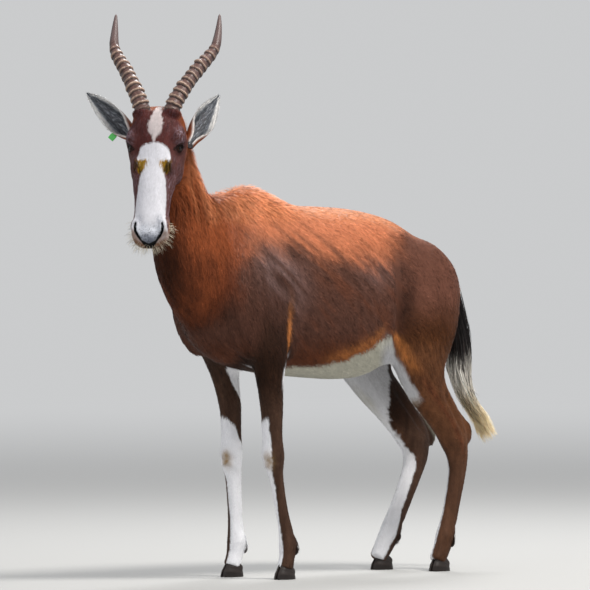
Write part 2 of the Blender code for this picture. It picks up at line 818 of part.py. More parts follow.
def make_horn(side):
    rings = []
    for centre, along, radius, bump in horn_rows():
        place = poll_point(centre.x * side, centre.y, centre.z)
        heading = poll_point(along.x * side, along.y, along.z) - POLL
        wide = head_axes()[0] - heading * head_axes()[0].dot(heading)
        wide.normalize()
        front = wide.cross(heading)
        if front.dot(head_axes()[2]) < 0:
            front.negate()
        ring = []
        for s, c in around(HORN_SIDES):
            # A ring stands out most on the horn's front.
            reach = radius + bump * (0.55 + 0.45 * c)
            ring.append(place + wide * reach * s * 0.94 + front * reach * c)
        rings.append(ring)
    return loft("horn", rings)


def ear_rows(side):
    """Sections of the ear, root to tip: its back, directions, half width and curl."""
    place = EARS[side]
    base, tip = poll_point(*place["base"]), poll_point(*place["tip"])
    opening = poll_point(*place["open"]) - POLL
    along = (tip - base).normalized()
    opening = (opening - along * opening.dot(along)).normalized()
    across = opening.cross(along).normalized()
    length = (tip - base).length
    rows = []
    for share, wide, curl in EAR_OUTLINE:
        back = base + along * length * share - opening * 0.010 * math.sin(math.pi * max(share, 0.0))
        rows.append((back, across, opening, EAR_HALF_WIDTH * wide, math.radians(curl)))
    return rows


def make_ear(side):
    """A leaf with its edges curled forward, so that it makes a cup."""
    rings = []
    arc = 8
    for back, across, opening, width, bend in ear_rows(side):
        radius = width / math.sin(min(bend, math.pi / 2))
        thick = min(EAR_THICKNESS, width * 0.6)
        outer, inner = [], []
        for k in range(arc + 1):
            angle = bend * (2 * k / arc - 1)
            way = across * math.sin(angle) - opening * math.cos(angle)
            edge = 1 - 0.55 * abs(2 * k / arc - 1) ** 4
            outer.append(back + opening * radius + way * radius)
            inner.append(back + opening * radius + way * (radius - thick * edge))
        rings.append(outer + list(reversed(inner)))
    return loft("ear", rings)


def claw(sign, coronet, heading):
    """One claw of a hoof: a flat pointed sole, and walls that lean in to the coronet."""
    across = Vector((-heading.y, heading.x, 0))
    outline = (
        (0.036, 0.0020),
        (0.029, 0.0120),
        (0.014, 0.0190),
        (-0.003, 0.0215),
        (-0.017, 0.0200),
        (-0.026, 0.0130),
        (-0.027, 0.0045),
        (-0.010, 0.0016),
        (0.016, 0.0014),
    )
    levels = ((0.0, 1.0, 0.0), (0.012, 0.98, -0.002), (0.030, 0.88, -0.009), (None, 0.80, -0.013))
    rings = []
    for height, size, shift in levels:
        ring = []
        for along, wide in outline:
            reach = 0.0008 + wide * (size if wide > 0.003 else 1.0)
            point = coronet + heading * (along * size + shift) + across * sign * reach
            if height is None:
                back = (point - coronet).dot(Vector((0, 1, 0)))
                point.z = CORONET_HEIGHT - CORONET_SLOPE * back - 1.5 * GAP
            else:
                point.z = height
            ring.append(point)
        rings.append(ring)
    return loft("claw", rings)


def make_hooves(parts):
    """Two claws under each leg, and the two small dew claws behind its fetlock."""
    claws, dew = {}, {}
    for leg, sides in (("fore", FORELEG), ("hind", HINDLEG)):
        for side, sign in (("left", 1), ("right", -1)):
            rows = sides[side]
            foot = Vector((rows[-2][0], rows[-2][1] - 0.008, 0.0))
            heading = Vector((0.10 * sign, -1, 0)).normalized()
            for place, way in (("inner", -sign), ("outer", sign)):
                claws[f"hoof_{leg}_{side}_{place}"] = claw(way, foot, heading)
                behind = Vector(rows[-3][:3]) + Vector((way * 0.0115, 0.060, -0.016))
                on_skin = parts[f"{leg}leg_{side}_lower"].ray_cast(behind, Vector((0, -1, 0)))[1]
                name = f"dewclaw_{leg}_{side}_{place}"
                place = on_skin + Vector((0, 0.001, 0))
                dew[name] = ellipsoid("dew", place, (0.0070, 0.0080, 0.0110), segments=8)
    return claws, dew


def tail_place(share):
    """A point on the tail's line, and the unit vectors along it, across it and behind it."""
    path = [Vector(row) for row in smooth_curve(TAIL_LINE, 6)]
    spot = max(0.0, min(1.0, share)) * (len(path) - 1)
    k = min(int(spot), len(path) - 2)
    along = (path[k + 1] - path[k]).normalized()
    across = (Vector((1, 0, 0)) - along * along.x).normalized()
    return path[k].lerp(path[k + 1], spot - k), along, across, across.cross(along)


def tail_lock(start, stop, angle, spread, width, bend):
    """A flat tapered lock of hair that leaves the dock and follows the tail's line."""
    rings = []
    steps = 4
    for k in range(steps + 1):
        t = k / steps
        centre, along, across, behind = tail_place(start + (stop - start) * t)
        way = across * math.sin(angle) + behind * math.cos(angle)
        flat = across * math.cos(angle) - behind * math.sin(angle)
        out = 0.005 + spread * math.sin(math.pi * min(1.0, 0.12 + 0.70 * t))
        middle = centre + way * out + flat * bend * t * t
        half = width * (1 - 0.92 * t**1.6) * (0.75 + 0.25 * math.sin(math.pi * t))
        deep = 0.0030 * (1 - 0.75 * t)
        rings.append([middle + flat * half, middle + way * deep, middle - flat * half, middle - way * deep])
    return loft("lock", rings)


def make_tail():
    """The dock, with the long locks that grow from it in a tuft."""
    rows = []
    for k, radius in enumerate(DOCK_RADIUS):
        rows.append((*TAIL_LINE[k], radius, radius))
    core = limb("tail", rows, 8)
    rng = random.Random(7)
    locks = bpy.data.collections.new("tail_locks")
    bpy.context.scene.collection.children.link(locks)
    for k in range(TAIL_LOCKS):
        start = 0.24 + 0.42 * (k / TAIL_LOCKS)
        angle = 2.4 * k + rng.uniform(-0.2, 0.2)
        stop = min(1.0, start + rng.uniform(0.34, 0.48) + 0.10 * (k / TAIL_LOCKS))
        spread, width = rng.uniform(0.014, 0.026), rng.uniform(0.0095, 0.0130)
        lock = tail_lock(start, stop, angle, spread, width, rng.uniform(-0.02, 0.02))
        bpy.context.scene.collection.objects.unlink(lock)
        locks.objects.link(lock)
    union = core.modifiers.new("locks", "BOOLEAN")
    union.operation = "UNION"
    union.operand_type = "COLLECTION"
    union.collection = locks
    union.solver = "EXACT"
    evaluated(core)
    for lock in list(locks.objects):
        bpy.data.objects.remove(lock)
    bpy.data.collections.remove(locks)
    return largest(core)


def make_ear_tag():
    """A small plate that hangs from the lower edge of the right ear."""
    rows = ear_rows("right")
    back, across, opening, width, bend = rows[3]
    along = (rows[4][0] - rows[2][0]).normalized()
    radius = width / math.sin(min(bend, math.pi / 2))
    down = 1 if across.z < 0 else -1
    edge = back + opening * radius + across * width * down
    out = (across * down + opening * 0.30).normalized()
    square = out.cross(along)
    half, inside, outside, thick = 0.0085, 0.0030, 0.0165, 0.0013
    profile = ((-inside, thick), (outside, thick), (outside, -thick), (-inside, -thick))
    rings = []
    for end in (-half, half):
        rings.append([edge + along * end + out * x + square * y for x, y in profile])
    return loft("tag", rings)


def settle():
    """Moves everything so that the floor under the middle of the bounding box is the origin."""
    bodies = [obj for obj in bpy.context.scene.objects if obj.type == "MESH"]
    corners = [vertex.co for obj in bodies for vertex in obj.data.vertices]
    low = Vector([min(p[a] for p in corners) for a in range(3)])
    high = Vector([max(p[a] for p in corners) for a in range(3)])
    shift = Vector((-(low.x + high.x) / 2, -(low.y + high.y) / 2, -low.z))
    for obj in bodies:
        obj.data.transform(Matrix.Translation(shift))


def main():
    clear_scene()
    coat = material("brown_coat", (0.16, 0.060, 0.034), 0.6)
    leg_coat = material("leg_coat", (0.55, 0.50, 0.47), 0.6)
    horn_surface = material("ringed_horn", (0.20, 0.155, 0.125), 0.45)
    ear_surface = material("ear_skin", (0.50, 0.47, 0.46), 0.7)
    eye_surface = material("dark_eye", (0.012, 0.008, 0.006), 0.05)
    hoof_surface = material("hoof_horn", (0.030, 0.025, 0.022), 0.4)
    hair = material("tail_hair", (0.10, 0.09, 0.085), 0.6)
    tag_surface = material("green_plastic", (0.02, 0.42, 0.03), 0.35)

    body = fused("body", body_forms() + head_forms(), BODY_VOXEL, 26, softness)
    parts = part_body(reduced(body, BODY_TRIANGLES))
    for name, obj in parts.items():
        finish(obj, name, leg_coat if "leg_" in name else coat)

    head = finish(make_head(), "head", coat)
    for side, sign in (("left", 1), ("right", -1)):
        finish(make_eye(sign), f"eye_{side}", eye_surface)
        horn = boolean(make_horn(sign), copied(head, GAP), "DIFFERENCE")
        finish(horn, f"horn_{side}", horn_surface)
        ear = boolean(make_ear(side), copied(head, GAP), "DIFFERENCE")
        ear = boolean(ear, copied(parts["neck"], GAP), "DIFFERENCE")
        finish(ear, f"ear_{side}", ear_surface)

    claws, dew = make_hooves(parts)
    for name, obj in claws.items():
        finish(obj, name, hoof_surface, 35)
    for name, obj in dew.items():
        leg, side = name.split("_")[1:3]
        host = parts[f"{leg}leg_{side}_lower"]
        finish(boolean(obj, copied(host, GAP), "DIFFERENCE"), name, hoof_surface)

    tail = boolean(make_tail(), copied(parts["torso"], GAP), "DIFFERENCE")
    finish(tail, "tail", hair, 35)
    tag = boolean(make_ear_tag(), copied(bpy.data.objects["ear_right"], 3 * GAP), "DIFFERENCE")
    finish(tag, "ear_tag", tag_surface, 30)
    settle()


main()
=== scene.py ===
"""Looks for a standing blesbok: skin, coat, face, horns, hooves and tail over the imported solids.

Everything is modelled about the withers, as the solids are, and moved onto them at the end.
"""

import json
import math

import bmesh
import bpy
import numpy as np
from mathutils import Matrix, Vector

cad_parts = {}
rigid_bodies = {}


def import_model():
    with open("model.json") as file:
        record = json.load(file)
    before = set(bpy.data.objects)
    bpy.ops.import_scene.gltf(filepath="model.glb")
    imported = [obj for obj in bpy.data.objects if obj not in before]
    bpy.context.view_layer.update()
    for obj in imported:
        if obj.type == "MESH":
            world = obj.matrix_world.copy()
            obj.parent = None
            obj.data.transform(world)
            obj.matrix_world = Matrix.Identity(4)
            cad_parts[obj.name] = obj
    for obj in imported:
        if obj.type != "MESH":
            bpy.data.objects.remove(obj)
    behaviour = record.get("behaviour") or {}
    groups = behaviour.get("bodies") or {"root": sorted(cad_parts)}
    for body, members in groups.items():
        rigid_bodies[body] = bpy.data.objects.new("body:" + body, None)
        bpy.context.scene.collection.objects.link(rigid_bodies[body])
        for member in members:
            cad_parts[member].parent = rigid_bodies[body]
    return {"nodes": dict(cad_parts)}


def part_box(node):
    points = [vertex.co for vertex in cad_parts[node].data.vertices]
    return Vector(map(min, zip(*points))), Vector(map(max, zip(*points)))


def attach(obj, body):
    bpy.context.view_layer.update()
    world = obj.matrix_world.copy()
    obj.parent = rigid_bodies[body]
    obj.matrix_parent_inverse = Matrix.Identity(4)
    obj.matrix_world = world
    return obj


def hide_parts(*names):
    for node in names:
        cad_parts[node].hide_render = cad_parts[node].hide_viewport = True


# Resolution of the skin, before the head is made finer.
SKIN_VOXEL = 0.0040
# Smoothing passes over the whole skin, and where its forms meet.
EVEN_PASSES = 3
FUSING_PASSES = 100
RING_SIDES = 48

# How far the skin lies inside the solids, which reach out to the tips of the coat.
BODY_DEPTH = 0.0035
LEG_DEPTH = 0.0016
HEAD_DEPTH = 0.0010

# Head placing: the poll is the point between the horn bases, on the skin.
POLL = Vector((0.035, -0.348, 1.185))
HEAD_TURN = math.radians(35)
FACE_TILT = math.radians(22)

# Torso sections, front to back: y, top, bottom, half width, pinch towards the top.
TORSO = (
    (-0.205, 0.775, 0.685, 0.030, 0.00),
    (-0.190, 0.815, 0.640, 0.058, 0.00),
    (-0.150, 0.925, 0.585, 0.088, 0.30),
    (-0.100, 0.966, 0.552, 0.104, 0.50),
    (-0.050, 0.982, 0.532, 0.116, 0.58),
    (0.000, 0.996, 0.523, 0.125, 0.60),
    (0.050, 0.988, 0.514, 0.129, 0.52),
    (0.110, 0.962, 0.507, 0.135, 0.32),
    (0.180, 0.944, 0.502, 0.142, 0.18),
    (0.260, 0.940, 0.496, 0.148, 0.09),
    (0.340, 0.936, 0.492, 0.150, 0.04),
    (0.420, 0.927, 0.498, 0.147, 0.02),
    (0.490, 0.913, 0.532, 0.140, 0.00),
    (0.560, 0.892, 0.585, 0.130, 0.00),
    (0.620, 0.869, 0.630, 0.118, 0.00),
    (0.670, 0.845, 0.680, 0.102, 0.05),
    (0.706, 0.824, 0.712, 0.080, 0.05),
    (0.732, 0.807, 0.738, 0.054, 0.00),
    (0.748, 0.793, 0.756, 0.026, 0.00),
)

# Neck sections, chest to poll: x, y, z, half width, half depth.
NECK = (
    (0.000, -0.050, 0.680, 0.102, 0.135),
    (0.000, -0.105, 0.735, 0.099, 0.132),
    (0.000, -0.152, 0.785, 0.091, 0.126),
    (0.000, -0.184, 0.830, 0.083, 0.117),
    (0.000, -0.208, 0.890, 0.071, 0.102),
    (0.000, -0.227, 0.970, 0.057, 0.077),
    (-0.003, -0.246, 1.025, 0.053, 0.069),
    (-0.008, -0.256, 1.075, 0.050, 0.064),
    (-0.008, -0.268, 1.130, 0.046, 0.054),
    (-0.006, -0.280, 1.158, 0.036, 0.036),
)

# Shoulder and haunch muscles on one side: x, y, z, half width, half depth.
SHOULDER = (
    (0.030, 0.018, 0.945, 0.016, 0.040),
    (0.048, -0.003, 0.895, 0.028, 0.060),
    (0.064, -0.028, 0.835, 0.038, 0.074),
    (0.078, -0.052, 0.765, 0.046, 0.084),
    (0.086, -0.066, 0.700, 0.050, 0.086),
    (0.088, -0.054, 0.640, 0.050, 0.080),
    (0.086, -0.020, 0.590, 0.042, 0.066),
)
HAUNCH = (
    (0.068, 0.548, 0.838, 0.032, 0.056),
    (0.080, 0.576, 0.790, 0.050, 0.098),
    (0.088, 0.592, 0.730, 0.057, 0.122),
    (0.094, 0.588, 0.665, 0.058, 0.118),
    (0.098, 0.573, 0.610, 0.056, 0.108),
    (0.100, 0.568, 0.560, 0.050, 0.094),
)

# Limbs from the body to the coronet: x, y, z, half width, half depth.
FORELEG = {
    "left": (
        (0.086, -0.020, 0.640, 0.046, 0.075),
        (0.092, 0.002, 0.575, 0.042, 0.062),
        (0.093, 0.006, 0.527, 0.036, 0.048),
        (0.092, 0.0105, 0.485, 0.0310, 0.0400),
        (0.091, 0.0170, 0.426, 0.0283, 0.0312),
        (0.090, 0.0185, 0.380, 0.0267, 0.0290),
        (0.089, 0.0215, 0.345, 0.0270, 0.0285),
        (0.088, 0.0250, 0.310, 0.0288, 0.0320),
        (0.089, 0.0285, 0.283, 0.0240, 0.0270),
        (0.091, 0.0335, 0.255, 0.0180, 0.0215),
        (0.096, 0.0445, 0.186, 0.0166, 0.0193),
        (0.101, 0.0535, 0.135, 0.0175, 0.0205),
        (0.105, 0.0610, 0.088, 0.0228, 0.0265),
        (0.107, 0.0550, 0.056, 0.0206, 0.0230),
        (0.108, 0.046, 0.024, 0.0230, 0.0240),
    ),
    "right": (
        (-0.086, -0.008, 0.640, 0.046, 0.075),
        (-0.091, 0.020, 0.575, 0.042, 0.061),
        (-0.090, 0.031, 0.530, 0.035, 0.048),
        (-0.089, 0.0430, 0.485, 0.0305, 0.0390),
        (-0.088, 0.0545, 0.426, 0.0278, 0.0302),
        (-0.087, 0.0560, 0.380, 0.0265, 0.0283),
        (-0.086, 0.0560, 0.345, 0.0270, 0.0286),
        (-0.086, 0.0560, 0.310, 0.0288, 0.0322),
        (-0.086, 0.0580, 0.282, 0.0250, 0.0300),
        (-0.086, 0.0625, 0.254, 0.0198, 0.0255),
        (-0.086, 0.0675, 0.186, 0.0180, 0.0232),
        (-0.086, 0.0705, 0.135, 0.0185, 0.0235),
        (-0.086, 0.0750, 0.086, 0.0234, 0.0290),
        (-0.086, 0.0670, 0.054, 0.0210, 0.0248),
        (-0.086, 0.056, 0.024, 0.0230, 0.0240),
    ),
}
HINDLEG = {
    "left": (
        (0.086, 0.565, 0.680, 0.056, 0.105),
        (0.096, 0.560, 0.620, 0.058, 0.118),
        (0.100, 0.558, 0.575, 0.054, 0.109),
        (0.100, 0.562, 0.540, 0.049, 0.093),
        (0.097, 0.581, 0.485, 0.0405, 0.0690),
        (0.094, 0.618, 0.438, 0.0350, 0.0570),
        (0.091, 0.655, 0.400, 0.0310, 0.0520),
        (0.089, 0.681, 0.368, 0.0300, 0.0480),
        (0.087, 0.702, 0.335, 0.0285, 0.0440),
        (0.086, 0.716, 0.298, 0.0240, 0.0365),
        (0.085, 0.717, 0.250, 0.0210, 0.0288),
        (0.085, 0.699, 0.175, 0.0198, 0.0250),
        (0.086, 0.684, 0.128, 0.0203, 0.0262),
        (0.087, 0.668, 0.088, 0.0238, 0.0270),
        (0.088, 0.655, 0.056, 0.0212, 0.0262),
        (0.089, 0.635, 0.024, 0.0230, 0.0240),
    ),
    "right": (
        (-0.086, 0.565, 0.680, 0.056, 0.105),
        (-0.096, 0.560, 0.620, 0.058, 0.118),
        (-0.099, 0.560, 0.575, 0.054, 0.110),
        (-0.098, 0.566, 0.540, 0.049, 0.096),
        (-0.095, 0.595, 0.485, 0.0405, 0.0680),
        (-0.091, 0.645, 0.436, 0.0345, 0.0600),
        (-0.087, 0.683, 0.396, 0.0310, 0.0560),
        (-0.084, 0.713, 0.362, 0.0300, 0.0530),
        (-0.083, 0.737, 0.330, 0.0285, 0.0510),
        (-0.082, 0.742, 0.292, 0.0240, 0.0450),
        (-0.081, 0.729, 0.250, 0.0210, 0.0350),
        (-0.080, 0.697, 0.190, 0.0195, 0.0315),
        (-0.080, 0.668, 0.140, 0.0202, 0.0310),
        (-0.080, 0.645, 0.100, 0.0238, 0.0315),
        (-0.080, 0.621, 0.062, 0.0214, 0.0310),
        (-0.080, 0.594, 0.026, 0.0230, 0.0240),
    ),
}

# The point of each hock, from the row that crosses the hock.
HEEL = {"left": (0.0, 0.048, 0.018), "right": (0.0, 0.062, 0.013)}

# Head sections from the nape to the nose, in the head's own frame: distance from
# the poll along the face, face side, jaw side, half width, and the share of that
# width left at the jaw and at the face.
HEAD = (
    (-0.030, -0.056, -0.086, 0.028, 0.90, 0.90),
    (-0.018, -0.038, -0.102, 0.050, 0.90, 0.88),
    (0.004, -0.013, -0.118, 0.063, 0.85, 0.84),
    (0.030, -0.001, -0.127, 0.071, 0.80, 0.78),
    (0.058, 0.004, -0.132, 0.0745, 0.72, 0.74),
    (0.092, 0.003, -0.133, 0.0725, 0.68, 0.74),
    (0.124, 0.001, -0.129, 0.065, 0.64, 0.80),
    (0.158, -0.001, -0.120, 0.0575, 0.60, 0.86),
    (0.193, -0.001, -0.107, 0.052, 0.56, 0.90),
    (0.228, -0.001, -0.095, 0.047, 0.58, 0.92),
    (0.263, -0.001, -0.084, 0.0445, 0.66, 0.94),
    (0.294, -0.003, -0.078, 0.0465, 0.70, 0.92),
    (0.320, -0.009, -0.074, 0.0455, 0.70, 0.86),
    (0.341, -0.020, -0.068, 0.037, 0.72, 0.80),
    (0.353, -0.034, -0.058, 0.020, 0.80, 0.80),
)
# The head keeps what lies above and ahead of this line: forward and up from the poll.
HEAD_EDGE = (
    (-0.080, 0.300),
    (-0.086, -0.050),
    (-0.096, -0.125),
    (-0.079, -0.168),
    (-0.057, -0.198),
    (-0.031, -0.227),
    (-0.003, -0.255),
    (0.022, -0.284),
)

# The eye: radius, place and gaze in the head's own frame, and half of its opening.
EYE_RADIUS = 0.0180
EYE_PLACE = (0.0480, 0.094, -0.034)
EYE_GAZE = (0.90, 0.05, 0.38)
EYE_OPENING = (0.0134, 0.0088)

# Horn curve: sideways, up and back from the poll, from skull to tip.
HORN = (
    (0.0330, -0.034, 0.030),
    (0.0365, -0.006, 0.029),
    (0.0485, 0.025, 0.038),
    (0.0689, 0.062, 0.063),
    (0.0918, 0.098, 0.097),
    (0.1180, 0.133, 0.134),
    (0.1288, 0.158, 0.158),
    (0.1316, 0.196, 0.186),
    (0.1316, 0.237, 0.206),
)
HORN_BASE_RADIUS = 0.0190
HORN_RINGS = 12
HORN_RINGED_SHARE = 0.74

# Ears: base and tip of the ear's back, as sideways, up and back from the poll, and
# the way the ear opens.
EARS = {
    "left": {
        "base": (0.074, -0.082, 0.066),
        "tip": (0.133, 0.029, 0.160),
        "open": (0.42, 0.10, -0.90),
    },
    "right": {
        "base": (-0.062, -0.067, 0.064),
        "tip": (-0.186, 0.036, 0.108),
        "open": (-0.10, -0.10, -0.99),
    },
}
EAR_HALF_WIDTH = 0.029
EAR_THICKNESS = 0.0032
# The ear's outline: place along it, share of the half width, how far round it curls.
EAR_OUTLINE = (
    (-0.12, 0.55, 165),
    (0.00, 0.64, 158),
    (0.10, 0.80, 140),
    (0.22, 0.94, 118),
    (0.36, 1.00, 99),
    (0.50, 0.97, 84),
    (0.64, 0.84, 72),
    (0.77, 0.64, 63),
    (0.88, 0.39, 57),
    (0.96, 0.17, 53),
    (1.00, 0.04, 50),
)

# The tail's line, and the dock's radius at the first of its points.
TAIL_LINE = (
    (0.000, 0.700, 0.800),
    (0.000, 0.752, 0.780),
    (0.000, 0.786, 0.738),
    (0.000, 0.800, 0.680),
    (0.004, 0.804, 0.620),
    (0.008, 0.803, 0.560),
    (0.014, 0.806, 0.500),
    (0.029, 0.820, 0.440),
    (0.054, 0.845, 0.385),
    (0.079, 0.871, 0.331),
)
DOCK_RADIUS = (0.022, 0.020, 0.0175, 0.0160, 0.0145, 0.012, 0.008)

# The upper edge of the hooves: height, and slopes before and behind the foot's middle.
CORONET_HEIGHT = 0.044
CORONET_SLOPE = 0.42
HEEL_SLOPE = 0.80
FOOT_AHEAD = 0.008

SIDES = (("left", 1), ("right", -1))


# Helpers for numbers and meshes


def srgb(red, green, blue):
    """A colour named by its 0 to 255 display values, as linear light."""
    shares = np.array((red, green, blue), float) / 255
    return np.where(shares <= 0.04045, shares / 12.92, ((shares + 0.055) / 1.055) ** 2.4)


def ramp(values, low, high):
    """0 below low, 1 above high, and a smooth step between."""
    share = np.clip((values - low) / (high - low), 0.0, 1.0)
    return share * share * (3 - 2 * share)


def window(values, start, full, fade, end):
    """0 outside start and end, 1 from full to fade, and smooth steps between."""
    return ramp(values, start, full) * (1 - ramp(values, fade, end))


def past(values, edge, soft):
    """0 below an edge, 1 above it, and a smooth step across it."""
    return ramp(values, edge - soft, edge + soft)


def hump(values, middle, width):
    """1 at the middle, falling away smoothly on both sides."""
    return np.exp(-(((values - middle) / width) ** 2))


def blend(under, over, share):
    """Mixes rows of colour, or one colour, by a share for each row."""
    return under + (over - under) * np.asarray(share)[:, None]


def columns(*parts):
    """Rows made of arrays and single numbers side by side."""
    return np.stack(np.broadcast_arrays(*parts), axis=1)


def unit(rows):
    """Rows scaled to a length of one."""
    return rows / np.maximum(np.linalg.norm(rows, axis=1, keepdims=True), 1e-9)


def lattice_value(cells, seed):
    """A repeatable number from 0 to 1 for each whole-numbered cell."""
    mixed = cells[:, 0] * 73856093 ^ cells[:, 1] * 19349663 ^ cells[:, 2] * 83492791 ^ seed * 2654435
    mixed = (mixed ^ (mixed >> 13)) * 1274126177
    return ((mixed ^ (mixed >> 16)) & 0xFFFFF) / 0xFFFFF


def noise(points, seed=0):
    """Smooth noise from -1 to 1 with features one unit across."""
    cells = np.floor(points).astype(np.int64)
    share = points - cells
    share = share * share * (3 - 2 * share)
    total = np.zeros(len(points))
    for corner in range(8):
        step = np.array((corner & 1, corner >> 1 & 1, corner >> 2 & 1))
        weight = np.prod(np.where(step, share, 1 - share), axis=1)
        total += weight * lattice_value(cells + step, seed)
    return total * 2 - 1


def clear_scene():
    """Removes the objects of the opening scene."""
    for obj in list(bpy.data.objects):
        bpy.data.objects.remove(obj)


def new_object(name, data):
    """An object that holds this data, in the scene."""
    obj = bpy.data.objects.new(name, data)
    bpy.context.scene.collection.objects.link(obj)
    return obj


def object_from(name, bm):
    """An object with the mesh that was built in bm, which is freed."""
    mesh = bpy.data.meshes.new(name)
    bm.to_mesh(mesh)
    bm.free()
    return new_object(name, mesh)


def apply_modifiers(obj):
    """Gives an object the mesh that its modifiers make."""
    bpy.context.view_layer.update()
    graph = bpy.context.evaluated_depsgraph_get()
    mesh = bpy.data.meshes.new_from_object(obj.evaluated_get(graph))
    obj.modifiers.clear()
    obj.data = mesh


def joined(name, objects):
    """One object that holds the meshes of these, which are removed."""
    bm = bmesh.new()
    for obj in objects:
        bm.from_mesh(obj.data)
        bpy.data.objects.remove(obj)
    return object_from(name, bm)


def read(items, field, width=1, kind=np.float32):
    """One field of all of a mesh's points, edges, faces or corners."""
    flat = np.empty(len(items) * width, kind)
    items.foreach_get(field, flat)
    return flat.reshape(-1, width) if width > 1 else flat


def points_of(mesh):
    """A mesh's points as rows."""
    return read(mesh.vertices, "co", 3).astype(float)


def normals_of(mesh):
    """The normal at each of a mesh's points."""
    return read(mesh.vertex_normals, "vector", 3).astype(float)


def set_points(mesh, points):
    """Moves a mesh's points."""
    mesh.vertices.foreach_set("co", points.astype(np.float32).ravel())
    mesh.update()


def edges_of(mesh):
    """The two points of each edge."""
    return read(mesh.edges, "vertices", 2, np.int32)


def corners_of(mesh):
    """The point at each corner, the first corner of each face, and the face of each corner."""
    corners = read(mesh.loops, "vertex_index", kind=np.int32)
    starts = read(mesh.polygons, "loop_start", kind=np.int32)
    return corners, starts, np.repeat(np.arange(len(starts)), np.diff(np.r_[starts, len(corners)]))


def relaxed(points, edges, weights, passes):
    """Moves each point towards the mean of its neighbours, as far as its weight says."""
    first, second = edges.T
    count = len(points)
    near = np.bincount(first, minlength=count) + np.bincount(second, minlength=count)
    share = (0.5 * weights)[:, None]
    for _ in range(passes):
        total = np.empty_like(points)
        for axis in range(3):
            total[:, axis] = np.bincount(first, points[second, axis], count)
            total[:, axis] += np.bincount(second, points[first, axis], count)
        points = points + (total / near[:, None] - points) * share
    return points


def set_colours(mesh, colours):
    """Stores a colour at each of a mesh's points, which the shaders read."""
    layer = mesh.color_attributes.new("Tint", "FLOAT_COLOR", "POINT")
    rows = np.ones((len(colours), 4), np.float32)
    rows[:, :3] = np.clip(colours, 0.0, 1.0)
    layer.data.foreach_set("color", rows.ravel())


def smooth_curve(points, steps):
    """Points along a Catmull-Rom curve through rows of numbers of any length."""
    rows = [list(p) for p in points]
    padded = [
        [2 * a - b for a, b in zip(rows[0], rows[1])],
        *rows,
        [2 * a - b for a, b in zip(rows[-1], rows[-2])],
    ]
    made = []
    for k in range(len(rows) - 1):
        p0, p1, p2, p3 = (np.array(row) for row in padded[k : k + 4])
        for step in range(steps):
            t = step / steps
            curve = 2 * p1 + (p2 - p0) * t + (2 * p0 - 5 * p1 + 4 * p2 - p3) * t * t
            made.append(list(0.5 * (curve + (3 * p1 - p0 - 3 * p2 + p3) * t**3)))
    made.append(rows[-1])
    return made


def loft(name, rings, closed=True):
    """A tube through rings of points, with a flat cap at each end where it is closed."""
    bm = bmesh.new()
    loops = [[bm.verts.new(point) for point in ring] for ring in rings]
    count = len(loops[0])
    for low, high in zip(loops, loops[1:]):
        for k in range(count):
            after = (k + 1) % count
            bm.faces.new((low[k], low[after], high[after], high[k]))
    if closed:
        bm.faces.new(list(reversed(loops[0])))
        bm.faces.new(loops[-1])
    if bm.calc_volume(signed=True) < 0:
        bmesh.ops.reverse_faces(bm, faces=bm.faces)
    return object_from(name, bm)


def around(sides):
    """Sine and cosine of evenly spaced angles."""
    for k in range(sides):
        angle = 2 * math.pi * k / sides
        yield math.sin(angle), math.cos(angle)


def rounded(value, power):
    """A power of a number with its sign kept, which makes an ellipse squarer."""
    return math.copysign(abs(value) ** power, value)


# The forms of the body, as in the solids


def torso_ring(y, top, bottom, half, pinch):
    """One section of the trunk, narrowed towards the top by its pinch."""
    middle, reach = (top + bottom) / 2, (top - bottom) / 2
    return [
        Vector((half * rounded(s, 0.85) * (1 - pinch * max(c, 0)), y, middle + reach * rounded(c, 0.92)))
        for s, c in around(RING_SIDES)
    ]


def torso():
    """The form of the trunk."""
    return loft("torso_form", [torso_ring(*row) for row in smooth_curve(TORSO, 3)])


def limb(name, rows, sides=RING_SIDES):
    """A tube of elliptical rings, each square to the line through the rows."""
    path = smooth_curve(rows, 4)
    centres = [Vector(row[:3]) for row in path]
    rings = []
    for k, row in enumerate(path):
        along = centres[min(k + 1, len(path) - 1)] - centres[max(k - 1, 0)]
        along.normalize()
        wide = Vector((1, 0, 0)) - along * along.x
        wide.normalize()
        deep = along.cross(wide)
        rings.append([centres[k] + wide * row[3] * s + deep * row[4] * c for s, c in around(sides)])
    return loft(name, rings)


def mirrored(rows, side):
    """One side's rows, from those of the left side."""
    return [(row[0] * side, *row[1:]) for row in rows]


def ellipsoid(name, centre, radii, turn=Matrix.Identity(3), segments=32):
    """A sphere with its own radius along each of three axes."""
    bm = bmesh.new()
    bmesh.ops.create_uvsphere(bm, u_segments=segments, v_segments=segments // 2 + 2, radius=1.0)
    place = Matrix.Translation(centre) @ turn.to_4x4() @ Matrix.Diagonal((*radii, 1.0))
    bmesh.ops.transform(bm, matrix=place, verts=bm.verts)
    return object_from(name, bm)


def head_axes():
    """Unit vectors: to the animal's left, down the face, and out of the face."""
    heading = Vector((math.sin(HEAD_TURN), -math.cos(HEAD_TURN), 0))
    up = Vector((0, 0, 1))
    left = up.cross(heading)
    down_face = heading * math.sin(FACE_TILT) - up * math.cos(FACE_TILT)
    out = heading * math.cos(FACE_TILT) + up * math.sin(FACE_TILT)
    return left, down_face, out


def head_point(side, along, out):
    """A point placed in the head's own frame."""
    left, down_face, face = head_axes()
    return POLL + left * side + down_face * along + face * out


def in_head(points):
    """Points in the head's own frame: sideways, along the face and out of it."""
    return (points - np.array(POLL)) @ np.array(head_axes()).T


def poll_point(side, up, back):
    """A point placed sideways, straight up and straight back from the poll."""
    heading = Vector((math.sin(HEAD_TURN), -math.cos(HEAD_TURN), 0))
    return POLL + head_axes()[0] * side + Vector((0, 0, up)) - heading * back


